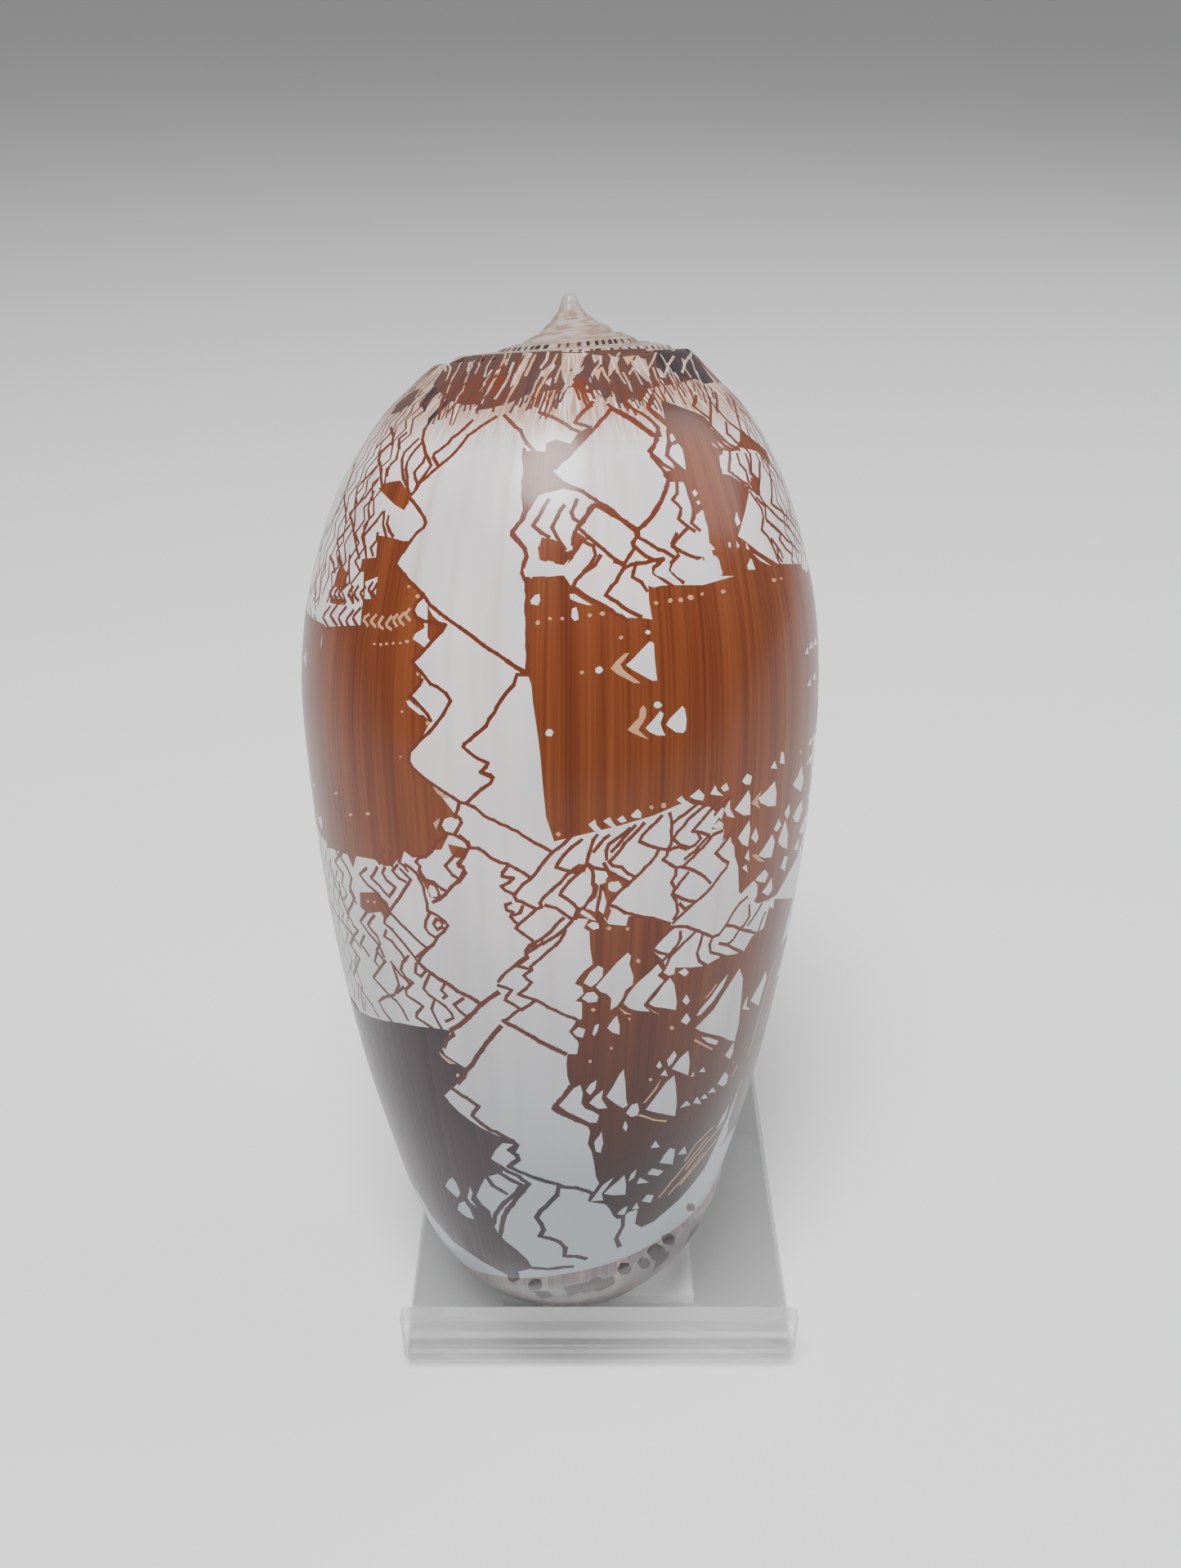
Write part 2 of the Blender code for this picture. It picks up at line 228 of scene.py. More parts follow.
def skin_point(ring, along):
    """Points of the skin in the shell's own frame, in millimetres."""
    radius, height = outline_at(along)
    step = table(STEP_UNDER_LIP, height)
    wall = table(LIP_WALL, height)
    opened = smooth_step((step - wall) / OPEN_SLIT)
    first = outer_point(np.full_like(ring, OUTER_FIRST), radius, height)
    last = outer_point(np.full_like(ring, OUTER_LAST), radius, height)

    # the outside
    growth = np.clip(ring, OUTER_FIRST, OUTER_LAST)
    r, h = outer_point(growth, radius, height)
    angle = growth.copy()

    # the rounded edge of the lip
    half = wall / 2
    turn = np.radians(np.clip((ring - OUTER_LAST) / (LIP_INSIDE - OUTER_LAST), 0, 1) * 180)
    on_lip = ring > OUTER_LAST
    reach = LIP_ROUND_ANGLE * np.minimum(1, half / LIP_ROUND_HALF)
    angle = np.where(on_lip, OUTER_LAST + reach * np.sin(turn) * opened, angle)
    r = np.where(on_lip, last[0] - half * (1 - np.cos(turn)) * opened, r)

    # inside the lip, back to the blind end
    deep = np.clip((ring - LIP_INSIDE) / CAVITY_RUN, 0, 1)
    in_lip = ring > LIP_INSIDE
    inside = outer_point(OUTER_LAST - CAVITY_ANGLE * deep, radius, height)
    angle = np.where(in_lip, OUTER_LAST - CAVITY_ANGLE * deep, angle)
    r = np.where(in_lip, inside[0] - wall, r)
    h = np.where(in_lip, inside[1], h)

    # the inner wall of the aperture
    deep_wall = np.clip((OUTER_FIRST - ring) / CAVITY_RUN, 0, 1)
    on_wall = ring < OUTER_FIRST
    angle = np.where(on_wall, OUTER_FIRST - CAVITY_ANGLE * deep_wall, angle)
    r = np.where(on_wall, first[0] * (1 - CORE_TAPER * deep_wall), r)

    # the blind end joins the two at half their radii
    end_growth = OUTER_LAST - CAVITY_ANGLE
    end_angle = (end_growth + OUTER_FIRST - CAVITY_ANGLE + 360.0) / 2
    end_lip = outer_point(np.full_like(ring, end_growth), radius, height)
    end_r = (end_lip[0] - wall + first[0] * (1 - CORE_TAPER)) / 2
    end_h = (end_lip[1] + first[1]) / 2
    blind_lip = np.clip((ring - LIP_INSIDE - CAVITY_RUN) / BLIND_RUN, 0, 1)
    blind_wall = np.clip((OUTER_FIRST - CAVITY_RUN - ring) / BLIND_RUN, 0, 1)
    blind = np.maximum(blind_lip, blind_wall)
    whole = np.where(on_wall, angle + 360.0, angle)
    whole = whole + (end_angle - whole) * blind
    r = r + (end_r - r) * blind
    h = h + (end_h - h) * blind

    # where the slit is shut, everything inside lies on a short link across it
    share = np.where(ring >= OUTER_LAST, (ring - OUTER_LAST) / (RING_LAST - OUTER_LAST) * 0.5,
                     0.5 + (ring - RING_FIRST) / (OUTER_FIRST - RING_FIRST) * 0.5)
    link_angle = OUTER_LAST + (LIP_ANGLE - OUTER_LAST + STEP_ANGLE) * share
    link_r = last[0] + (first[0] - last[0]) * share
    link_h = last[1] + (first[1] - last[1]) * share
    hidden = (ring > OUTER_LAST) | (ring < OUTER_FIRST)
    blend = np.where(hidden, opened, 1.0)
    angle = np.where(hidden, link_angle + (whole - link_angle) * blend, angle)
    r = np.where(hidden, link_r + (r - link_r) * blend, r)
    h = np.where(hidden, link_h + (h - link_h) * blend, h)

    near_end = np.clip(1 - height / END_BEND_HEIGHT, 0, 1) ** 2
    across = r * (1 - END_FLAT * near_end)
    a = np.radians(angle)
    return np.stack([r * np.cos(a), END_BEND * near_end - across * np.sin(a), h], axis=-1)


SHELL_PLACE = (Matrix.Translation(Vector(FOOT) * MM)
               @ Matrix.Rotation(math.radians(SIDE_LEAN), 4, "Y")
               @ Matrix.Rotation(math.radians(-LEAN), 4, "X"))
TURN = np.array(SHELL_PLACE.to_3x3())


def placed(points):
    """Points of the shell's own frame, in the model's frame, in metres."""
    return points * MM @ TURN.T + np.array(SHELL_PLACE.translation)


BACK_RING = 90.0
APEX = placed(skin_point(np.array([BACK_RING]), np.array([0.0])))[0]
print("apex at", (APEX / MM).round(1), "mm")

# %% [markdown]
# ## The photograph's camera
# The camera stands where the photographer did: 33 degrees above the shell. Its place was
# worked out from the stand's base plate, which is flat and square, so its edges give the
# perspective. The same numbers turn a point read off the photograph into a ray, and the ray
# meets the skin at a growth angle and a distance along the outline.

# %% Camera numbers and the ray through a pixel
PHOTO_SIZE = (1445, 1919)
FOCAL_PIXELS = 1600.0
SENSOR_MM = 36.0
LOOK_DOWN = 33.27
CAMERA_FROM_FOOT = (2.2, -80.7, 110.33)
CAMERA_AT = np.array([f + c for f, c in zip(FOOT, CAMERA_FROM_FOOT)]) * MM
DOWN = math.radians(LOOK_DOWN)
FORWARD = np.array([0.0, math.cos(DOWN), -math.sin(DOWN)])
UPWARD = np.array([0.0, math.sin(DOWN), math.cos(DOWN)])
TREE_RING_STEP = 1.0
TREE_ALONG_STEP = 0.5
TREE_FIRST = 0.3
TRACE_PIXELS = 9.0
MIDDLE_PIXEL = (700, 960)


def pixel_ray(x, y):
    """Direction from the camera through a pixel of the photograph."""
    across = (x - PHOTO_SIZE[0] / 2) / FOCAL_PIXELS
    up = (PHOTO_SIZE[1] / 2 - y) / FOCAL_PIXELS
    return Vector(FORWARD + UPWARD * up + np.array([across, 0.0, 0.0])).normalized()


def outside_tree():
    """A search tree of the outside of the shell, and the growth numbers of its corners."""
    rings = np.arange(OUTER_FIRST, OUTER_LAST, TREE_RING_STEP)
    alongs = np.arange(TREE_FIRST, LENGTH, TREE_ALONG_STEP)
    u, v = np.meshgrid(rings, alongs)
    points = placed(skin_point(u.ravel(), v.ravel()))
    n = len(rings)
    corners = np.arange(len(points)).reshape(len(alongs), n)
    quads = np.stack([corners[:-1, :-1], corners[:-1, 1:], corners[1:, 1:], corners[1:, :-1]], -1)
    tree = BVHTree.FromPolygons(points.tolist(), quads.reshape(-1, 4).tolist())
    return tree, points, quads.reshape(-1, 4), np.stack([u.ravel(), v.ravel()], 1)


TREE, TREE_POINTS, TREE_QUADS, TREE_GROWTH = outside_tree()


def on_shell(x, y):
    """Growth angle and distance along the outline where a pixel's ray meets the shell."""
    place, _, face, _ = TREE.ray_cast(Vector(CAMERA_AT), pixel_ray(x, y))
    if place is None:
        return None
    a, b, c, d = TREE_QUADS[face]
    side = TREE_POINTS[b] - TREE_POINTS[a]
    down = TREE_POINTS[d] - TREE_POINTS[a]
    offset = np.array(place) - TREE_POINTS[a]
    grid = np.array([[side @ side, side @ down], [side @ down, down @ down]])
    s, t = np.linalg.solve(grid, [offset @ side, offset @ down])
    across = TREE_GROWTH[b] - TREE_GROWTH[a]
    along = TREE_GROWTH[d] - TREE_GROWTH[a]
    return TREE_GROWTH[a] + s * across + t * along


def traced(points):
    """Growth numbers of a line of pixels, with points between them; the ends may miss."""
    fine = []
    for (x0, y0), (x1, y1) in zip(points[:-1], points[1:]):
        count = max(1, round(math.hypot(x1 - x0, y1 - y0) / TRACE_PIXELS))
        fine += [(x0 + (x1 - x0) * k / count, y0 + (y1 - y0) * k / count) for k in range(count)]
    fine.append(points[-1])
    hits = [on_shell(x, y) for x, y in fine]
    return [h for h in hits if h is not None]


print("centre of the photo meets the shell at", on_shell(*MIDDLE_PIXEL).round(1))

# %% [markdown]
# ## A box of paints
# The markings are only colour, so they aren't raised. They could be a picture wrapped round
# the shell, but a drawn mesh stays sharp at any zoom: every mark is a flat polygon in growth
# numbers, later marks cover earlier ones, and one triangulation turns the lot into faces.

# %% Marks: a polygon and a kind of pigment
GROUND, LINE, BROWN, DARK, CREAM, BAND = range(6)
MARKS = []
RING_MARGIN = 2.0
TOP_MARGIN = 0.5
END_MARGIN = 0.4


def add_mark(points, kind):
    """A filled polygon, kept inside the part of the skin that may be marked."""
    kept = [(min(max(g, RING_FIRST + RING_MARGIN), RING_LAST - RING_MARGIN),
             min(max(a, TOP_MARGIN), LENGTH - END_MARGIN)) for g, a in points]
    turns = sum(g0 * a1 - g1 * a0 for (g0, a0), (g1, a1) in zip(kept, kept[1:] + kept[:1]))
    if len(kept) > 2:
        MARKS.append((kept if turns > 0 else kept[::-1], kind))


print("kinds of paint: 0 to", BAND)

# %% [markdown]
# ## A pen and a brush
# The pen lays short overlapping strips, with a width in millimetres of skin. Its hand shakes a
# little, from a seeded random run, because a snail draws no ruled lines.

# %% A pen and a brush
WANDER = random.Random(11)
PEN = 0.28
PEN_SWELL = 0.18
SWELL_RATE = 2.3
PEN_OVERLAP = 0.35
PEN_WOBBLE = 0.03
LEAST_SCALE = 0.05
SHORTEST_RUN = 1e-6


def local_scale(along):
    """Millimetres of skin for one degree of growth."""
    return max(LEAST_SCALE, math.radians(1) * float(outline_at(along)[0]))


def add_line(points, width=PEN, kind=LINE):
    """A pen line through growth points, as short overlapping quads that swell and thin."""
    if len(points) < 2:
        return
    run = [(g + WANDER.gauss(0, PEN_WOBBLE) / local_scale(a), a + WANDER.gauss(0, PEN_WOBBLE))
           for g, a in points]
    count = len(run) - 1
    for k in range(count):
        (g0, a0), (g1, a1) = run[k], run[k + 1]
        scale = local_scale((a0 + a1) / 2)
        along_x = (g1 - g0) * scale
        along_y = a1 - a0
        size = math.hypot(along_x, along_y)
        if size < SHORTEST_RUN:
            continue
        ux = along_x / size
        uy = along_y / size
        w0 = width / 2 * (1.0 + PEN_SWELL * math.sin(SWELL_RATE * (k + g0)))
        w1 = width / 2 * (1.0 + PEN_SWELL * math.sin(SWELL_RATE * (k + 1 + g0)))
        reach = width * PEN_OVERLAP
        corners = [(-reach, w0), (-reach, -w0), (size + reach, -w1), (size + reach, w1)]
        quad = [(g0 + (ux * p - uy * q) / scale, a0 + uy * p + ux * q) for p, q in corners]
        add_mark(quad, kind)


def pen(*outlines, width=PEN, kind=LINE):
    """Pen lines traced over the photograph."""
    for outline in outlines:
        add_line(traced(outline), width, kind)


def fill(*outlines, kind=BROWN):
    """Filled shapes traced over the photograph."""
    for outline in outlines:
        add_mark(traced(list(outline) + [outline[0]])[:-1], kind)


print("one degree at the middle is %.2f mm wide" % local_scale(LENGTH / 2))

# %% [markdown]
# ## The glaze
# The pigment lies under a thin clear glaze. Each kind of mark has its own colour, which
# wanders a little with noise and runs in streaks along the old lips, because the snail laid
# it down lip by lip. The streaks use the growth numbers and not the position in space.

# %% Helpers for shader nodes
def srgb(r, g, b):
    """A colour as read off the photograph, 0 to 255, as linear values."""
    def linear(c):
        c = c / 255
        return c / 12.92 if c <= 0.04045 else ((c + 0.055) / 1.055) ** 2.4
    return linear(r), linear(g), linear(b), 1.0


def new_material(name):
    """A new material, its node tree and its shader."""
    material = bpy.data.materials.new(name)
    material.use_nodes = True
    tree = material.node_tree
    return material, tree, tree.nodes["Principled BSDF"]


def node(tree, kind, **inputs):
    """A new node, with some inputs set by name."""
    made = tree.nodes.new(kind)
    for name, value in inputs.items():
        made.inputs[name.replace("_", " ")].default_value = value
    return made


def link(tree, source, target):
    """Join an output to an input."""
    tree.links.new(source, target)


def maths(tree, operation, a, b=None):
    """One sum of two values, each a number or a socket."""
    made = tree.nodes.new("ShaderNodeMath")
    made.operation = operation
    for socket, value in zip(made.inputs, (a, b)):
        if value is None:
            continue
        if isinstance(value, (int, float)):
            socket.default_value = value
        else:
            link(tree, value, socket)
    return made.outputs[0]


def attribute(tree, name):
    """A value stored with the mesh."""
    made = tree.nodes.new("ShaderNodeAttribute")
    made.attribute_name = name
    return made.outputs["Fac"]


def mixed(tree, share, a, b):
    """A colour between two, each a colour or a socket."""
    made = tree.nodes.new("ShaderNodeMix")
    made.data_type = "RGBA"
    sockets = (made.inputs[0], made.inputs[6], made.inputs[7])
    for socket, value in zip(sockets, (share, a, b)):
        if isinstance(value, bpy.types.NodeSocket):
            link(tree, value, socket)
        else:
            socket.default_value = value
    return made.outputs[2]


def noise(tree, vector, scale, detail):
    """Soft noise over the given coordinates."""
    made = node(tree, "ShaderNodeTexNoise", Scale=scale, Detail=detail)
    link(tree, vector, made.inputs["Vector"])
    return made.outputs["Fac"]


def growth_vector(tree, across, down):
    """Texture coordinates from the growth numbers: large across means fine streaks."""
    made = tree.nodes.new("ShaderNodeCombineXYZ")
    link(tree, maths(tree, "MULTIPLY", attribute(tree, "growth"), across), made.inputs[0])
    link(tree, maths(tree, "MULTIPLY", attribute(tree, "along"), down), made.inputs[1])
    return made.outputs[0]


def ramp_between(tree, value, low, high):
    """0 at the low value, 1 at the high one."""
    made = tree.nodes.new("ShaderNodeMapRange")
    made.inputs["From Min"].default_value = low
    made.inputs["From Max"].default_value = high
    link(tree, value, made.inputs["Value"])
    return made.outputs[0]


print("mid grey as a linear value:", round(srgb(128, 128, 128)[0], 3))

# %% [markdown]
# ## The colours
# The pale ground turns greyer and darker towards the front end, which is painted shade, and
# browner on the spire. The lines, the brown blocks and the band get the same painted shade. The
# colours were measured at a few single points of the photograph and then set in the render. A
# picture of the shell would have its shadows and glints in it; these have no glints, and their
# only shade is that painted shade.

# %% Colours and scales
GROUND_COLOUR = srgb(214, 208, 205)
GROUND_COOL = srgb(198, 194, 196)
# painted shade: the ground's darker, bluer tone towards the front end
GROUND_PAINTED_SHADE = srgb(150, 156, 162)
GROUND_STREAK = srgb(186, 172, 166)
FLAME_TAN = srgb(158, 124, 104)
FLAME_BROWN = srgb(88, 54, 42)
LINE_COLOUR = srgb(96, 44, 26)
# painted shade of the pen lines towards the front end
LINE_PAINTED_SHADE = srgb(52, 32, 34)
BROWN_COLOUR = srgb(80, 31, 13)
BROWN_LIGHT = srgb(124, 66, 33)
# painted shade of the brown blocks towards the front end
BROWN_PAINTED_SHADE = srgb(38, 18, 18)
DARK_COLOUR = srgb(30, 22, 30)
DARK_LIGHT = srgb(60, 44, 46)
CREAM_COLOUR = srgb(178, 134, 102)
# painted shade: the band's cream is drawn as a darker grey, and its streaks darker still
BAND_SHADED_COLOUR = srgb(138, 126, 120)
BAND_SHADE = srgb(84, 78, 88)
SPIRE_COLOUR = srgb(138, 112, 94)
SPIRE_PALE = srgb(162, 152, 147)
FLAME_FROM = 20.0
FLAME_TO = 16.6
# along the outline, where the painted shade towards the front end begins and where it is full
PAINTED_SHADE_FROM = 50.0
PAINTED_SHADE_TO = 78.0
SPIRE_EDGE = 9.3
SPIRE_FADE = 1.0
TIP_EDGE = 1.8
TIP_FADE = 0.8
STREAK_SCALE = (1.2, 0.03)
WIDE_SCALE = (0.22, 0.02)
DRIFT_SCALE = (0.05, 0.09)
COMB_SCALE = (1.1, 0.35)
RINGS_SCALE = (0.03, 1.6)
STREAK_RANGE = (0.66, 1.36)
WIDE_RANGE = (0.5, 0.85)
DRIFT_RANGE = (0.35, 0.65)
COMB_RANGE = (0.3, 0.55)
RINGS_RANGE = (0.42, 0.6)
print("pigment of a line:", [round(c, 3) for c in LINE_COLOUR[:3]])

# %% [markdown]
# ## Coat after coat
# A painter lays one coat over another, and the node tree does the same: first the ground, then
# a colour for each kind of mark. All are in one material, so the skin stays one piece.

# %% Ground and pigments
def growth_noise(tree, scales, detail):
    """Noise in growth numbers, stretched by a pair of scales."""
    return noise(tree, growth_vector(tree, *scales), 1.0, detail)


def ground_coat(tree, along, painted_shade_share, flame_zone, wide_streaks):
    """The pale ground, with cool drifts, painted shade towards the front end, tan combs under the
    flames and a brown spire.
    """
    drift_share = ramp_between(tree, growth_noise(tree, DRIFT_SCALE, 2.0), *DRIFT_RANGE)
    ground = mixed(tree, drift_share, GROUND_COLOUR, GROUND_COOL)
    ground = mixed(tree, ramp_between(tree, wide_streaks, *WIDE_RANGE), ground, GROUND_STREAK)
    # painted shade: the ground turns darker and bluer towards the front end
    ground = mixed(tree, painted_shade_share, ground, GROUND_PAINTED_SHADE)
    comb_share = ramp_between(tree, growth_noise(tree, COMB_SCALE, 3.0), *COMB_RANGE)
    ground = mixed(tree, maths(tree, "MULTIPLY", flame_zone, comb_share), ground, FLAME_TAN)
    ring_share = ramp_between(tree, growth_noise(tree, RINGS_SCALE, 3.0), *RINGS_RANGE)
    spire = mixed(tree, ring_share, SPIRE_COLOUR, SPIRE_PALE)
    tip_share = ramp_between(tree, along, TIP_EDGE, TIP_EDGE - TIP_FADE)
    spire_share = ramp_between(tree, along, SPIRE_EDGE, SPIRE_EDGE - SPIRE_FADE)
    return mixed(tree, spire_share, ground, mixed(tree, tip_share, spire, SPIRE_PALE))


def pigment_coats(tree, painted_shade_share, flame_zone, streak_share):
    """The colour of each kind of mark, in the order of their numbers; lines and browns carry
    painted shade towards the front end.
    """
    # painted shade: lines and browns darken towards the front end
    line = mixed(tree, painted_shade_share, LINE_COLOUR, LINE_PAINTED_SHADE)
    brown = mixed(tree, streak_share, BROWN_COLOUR, BROWN_LIGHT)
    brown = mixed(tree, painted_shade_share, brown, BROWN_PAINTED_SHADE)
    brown = mixed(tree, flame_zone, brown, mixed(tree, streak_share, FLAME_BROWN, DARK_LIGHT))
    dark = mixed(tree, streak_share, DARK_COLOUR, DARK_LIGHT)
    band = mixed(tree, streak_share, BAND_SHADED_COLOUR, BAND_SHADE)
    return (LINE, line), (BROWN, brown), (DARK, dark), (CREAM, CREAM_COLOUR), (BAND, band)


print("pigments over the ground:", BAND)

# %% [markdown]
# ## Growth lines and gloss
# The growth lines are too fine to model, so a bump carries them. The gloss is soft, with a
# thin clear coat, as on a shell that has been handled.

# %% Shell material
WALL_FADE = (OUTER_FIRST + 2, OUTER_FIRST - 4)
GROWTH_BUMP = 0.00002
FOLD_BUMP = 0.0004
FOLDS_PER_MM = 2.6
PIGMENT_MATCH = 0.25
GLAZE = {"Roughness": 0.36, "Specular IOR Level": 0.2, "Coat Weight": 0.3, "Coat Roughness": 0.16}


def surface_bump(tree, shader, along, streak_sum):
    """Fine growth lines all over, and low folds on the inner wall of the aperture."""
    wall_share = ramp_between(tree, attribute(tree, "growth"), *WALL_FADE)
    fold = maths(tree, "SINE", maths(tree, "MULTIPLY", along, FOLDS_PER_MM))
    folds = node(tree, "ShaderNodeBump", Distance=FOLD_BUMP, Strength=1.0)
    link(tree, maths(tree, "MULTIPLY", fold, wall_share), folds.inputs["Height"])
    bump = node(tree, "ShaderNodeBump", Distance=GROWTH_BUMP, Strength=1.0)
    link(tree, folds.outputs["Normal"], bump.inputs["Normal"])
    link(tree, streak_sum, bump.inputs["Height"])
    link(tree, bump.outputs["Normal"], shader.inputs["Normal"])


def shell_material():
    """Pale ground, pigments picked by the paint number of each face, and a soft glaze."""
    material, tree, shader = new_material("glazed shell")
    along = attribute(tree, "along")
    wide_streaks = growth_noise(tree, WIDE_SCALE, 2.0)
    streak_sum = maths(tree, "ADD", growth_noise(tree, STREAK_SCALE, 4.0), wide_streaks)
    streak_share = ramp_between(tree, streak_sum, *STREAK_RANGE)
    # painted shade, rising along the outline towards the front end
    painted_shade_share = ramp_between(tree, along, PAINTED_SHADE_FROM, PAINTED_SHADE_TO)
    flame_zone = ramp_between(tree, along, FLAME_FROM, FLAME_TO)
    colour = ground_coat(tree, along, painted_shade_share, flame_zone, wide_streaks)
    paint = attribute(tree, "paint")
    for kind, coat in pigment_coats(tree, painted_shade_share, flame_zone, streak_share):
        here = maths(tree, "COMPARE", paint, float(kind))
        here.node.inputs[2].default_value = PIGMENT_MATCH
        colour = mixed(tree, here, colour, coat)
    link(tree, colour, shader.inputs["Base Color"])
    surface_bump(tree, shader, along, streak_sum)
    for name, value in GLAZE.items():
        shader.inputs[name].default_value = value
    return material


print("glaze:", GLAZE)

# %% [markdown]
# ## The side away from the camera
# The photograph doesn't show the back, but the rule of the pattern is known: a pigment line
# starts, splits into two that travel apart as the lip moves on, and ends where it meets a
# neighbour. Following that rule with a seeded random run gives tents like those in front.

# %% Blocks on the far side
TRAVEL = random.Random(5)
WHORL_TOP = 84.0
LOWEST_BAND = 0.4
BACK_BLOCKS = [
    (149.0, 199.0, 33.7, 51.5, BROWN), (147.0, 207.0, 66.6, 86.0, DARK),
    (-64.0, 20.0, 30.3, 43.5, BROWN), (-72.0, 32.0, 61.0, 79.0, BROWN),
    (215.0, 237.0, 37.0, 55.0, BROWN), (-115.0, -84.0, 35.0, 51.0, BROWN),
    (20.0, 34.0, 70.0, 80.0, BROWN),
]
BLOCK_STEPS = 14
BLOCK_RAG_LEFT = 0.8
BLOCK_RAG_RIGHT = 3
AREA_PER_TENT = 30
SEEN_SIDE = (20, 156)
TENT_SIZES = (0.3, 0.9)
ROWS_FROM_TOP = (1.2, 3.4)
ROWS_FROM_BOTTOM = (1.6, 3.6)
ROW_WANDER = 0.5
TENT_SHAPE = [(1.0, 0.0), (-0.7, -0.8), (-0.6, 0.8)]


def height_along(height):
    """Distance along the outline of a height on the body."""
    body = RUN[:, 1] < WHORL_TOP
    return float(np.interp(-height, -RUN[body, 1], ALONG[body]))


def front_limit(growth):
    """Where the front band starts, along the outline."""
    return height_along(max(LOWEST_BAND, float(table(BAND_LINE, growth))))


def back_block(first, last, top, bottom, kind):
    """A brown block with ragged ends and rows of small white tents inside."""
    steps = np.linspace(top, bottom, BLOCK_STEPS)
    left = [(first + TRAVEL.uniform(-BLOCK_RAG_LEFT, BLOCK_RAG_LEFT), a) for a in steps]
    right = [(last + TRAVEL.uniform(-BLOCK_RAG_RIGHT, BLOCK_RAG_RIGHT), a) for a in steps[::-1]]
    add_mark(left + right, kind)
    rows = [top + r for r in ROWS_FROM_TOP] + [bottom - r for r in ROWS_FROM_BOTTOM]
    for _ in range(int((last - first) * (bottom - top) / AREA_PER_TENT)):
        g = TRAVEL.uniform(first + 2, last - 2)
        if SEEN_SIDE[0] < g < SEEN_SIDE[1]:
            continue
        a = TRAVEL.choice(rows) + TRAVEL.uniform(-ROW_WANDER, ROW_WANDER)
        size = TRAVEL.uniform(*TENT_SIZES)
        reach = size / local_scale(a)
        add_mark([(g + reach * right, a + size * down) for right, down in TENT_SHAPE], GROUND)


print("band starts at", [round(front_limit(g), 1) for g in (0.0, BACK_RING)], "mm along")

# %% [markdown]
# ## Lines that travel and meet
# Each walker is one pigment line: a place, a speed and the path so far. All walkers take a step
# together, as the lip does, and two that meet end there and close a tent.

# %% Travelling lines
FLAMES_END = 17.0
BACK_SPANS = [(OUTER_FIRST + 1.0, 13.0), (157.0, OUTER_LAST - 0.5)]
TRAVEL_STEP = 1.5
START_TRIES = 4
LEAST_GAP = 0.9
SPEEDS = (0.35, 0.75)
SPEED_WANDER = (0.7, 1.3)
BAND_GAP = 0.5
START_MARGIN = 2
LEAVE_MARGIN = 3
TURN_EVERY = 5
TURN_BACK = -0.6
LONGEST_PATH = 26
FAR_PEN = PEN * 0.9


def start_pairs(walkers, growth, bottom):
    """Start new lines in pairs that will travel apart, where there is room."""
    for _ in range(START_TRIES):
        place = TRAVEL.uniform(FLAMES_END - START_MARGIN, bottom)
        if all(abs(place - walker["place"]) > LEAST_GAP for walker in walkers):
            speed = TRAVEL.uniform(*SPEEDS)
            for sign in (-1, 1):
                walkers.append({"speed": sign * speed, "path": [(growth, place)], "place": place})


def ended_lines(walkers, bottom):
    """Lines that have left the field, are long enough, or have met a neighbour."""
    ended = [w for w in walkers
             if not FLAMES_END - LEAVE_MARGIN < w["place"] < bottom
             or len(w["path"]) > LONGEST_PATH]
    for upper, lower in zip(walkers, walkers[1:]):
        if upper["speed"] > 0 > lower["speed"] and lower["place"] - upper["place"] < LEAST_GAP:
            ended += [upper, lower]
    return ended


def travel(first, last):
    """Lines that start in pairs, travel apart and end where they meet."""
    walkers = []
    growth = first
    while growth < last:
        bottom = front_limit(growth) - BAND_GAP
        start_pairs(walkers, growth, bottom)
        for walker in walkers:
            turned = TURN_BACK if len(walker["path"]) % TURN_EVERY == TURN_EVERY - 1 else 1.0
            pace = walker["speed"] * turned * TRAVEL_STEP
            walker["place"] += pace * TRAVEL.uniform(*SPEED_WANDER)
            walker["path"].append((growth + TRAVEL_STEP, walker["place"]))
        walkers.sort(key=lambda w: w["place"])
        for walker in ended_lines(walkers, bottom):
            if walker in walkers:
                add_line(walker["path"], FAR_PEN)
                walkers.remove(walker)
        growth += TRAVEL_STEP
    for walker in walkers:
        add_line(walker["path"], FAR_PEN)


print("lines travel over", BACK_SPANS)

# %% [markdown]
# ## Nets and flames
# Where the lines lie too close to trace, short zigzags one beside another read as a net. The
# flames start at the shoulder, where the new colour of a whorl is darkest.

# %% Nets and flames
NET_SPANS = [(139.0, 160.0, 13.5, 33.0), (146.0, 162.0, 52.0, 66.0), (14.0, 30.0, 15.0, 30.0),
             (14.0, 26.0, 44.5, 60.0)]
ZIGZAG_GAP = 3.2
ZIGZAG_SWAY = 1.1
ZIGZAG_STEPS = (0.6, 1.5)
ZIGZAG_START = 1.5
ZIGZAG_WANDER = 0.5
NET_PEN = PEN * 0.75
FLAME_TOP = 10.6
FLAME_WIDTHS = (3, 9)
FLAME_TIPS = (13.0, 16.0)
FLAME_LEANS = (2, 7)
FLAME_SPACES = (0.5, 4)
HAIR_BENDS = (12.0, 14.5)
HAIRS_PER_FLAME = 4
HAIR_WIDTH = 0.2


def zigzags(first, last, top, bottom):
    """Columns of small zigzags, as in the dense nets."""
    for growth in np.arange(first, last, ZIGZAG_GAP):
        along = top + TRAVEL.uniform(0, ZIGZAG_START)
        path = []
        while along < bottom:
            side = ZIGZAG_SWAY if len(path) % 2 else -ZIGZAG_SWAY
            wander = TRAVEL.uniform(-ZIGZAG_WANDER, ZIGZAG_WANDER)
            path.append((growth + side + wander, along))
            along += TRAVEL.uniform(*ZIGZAG_STEPS)
        add_line(path, NET_PEN)


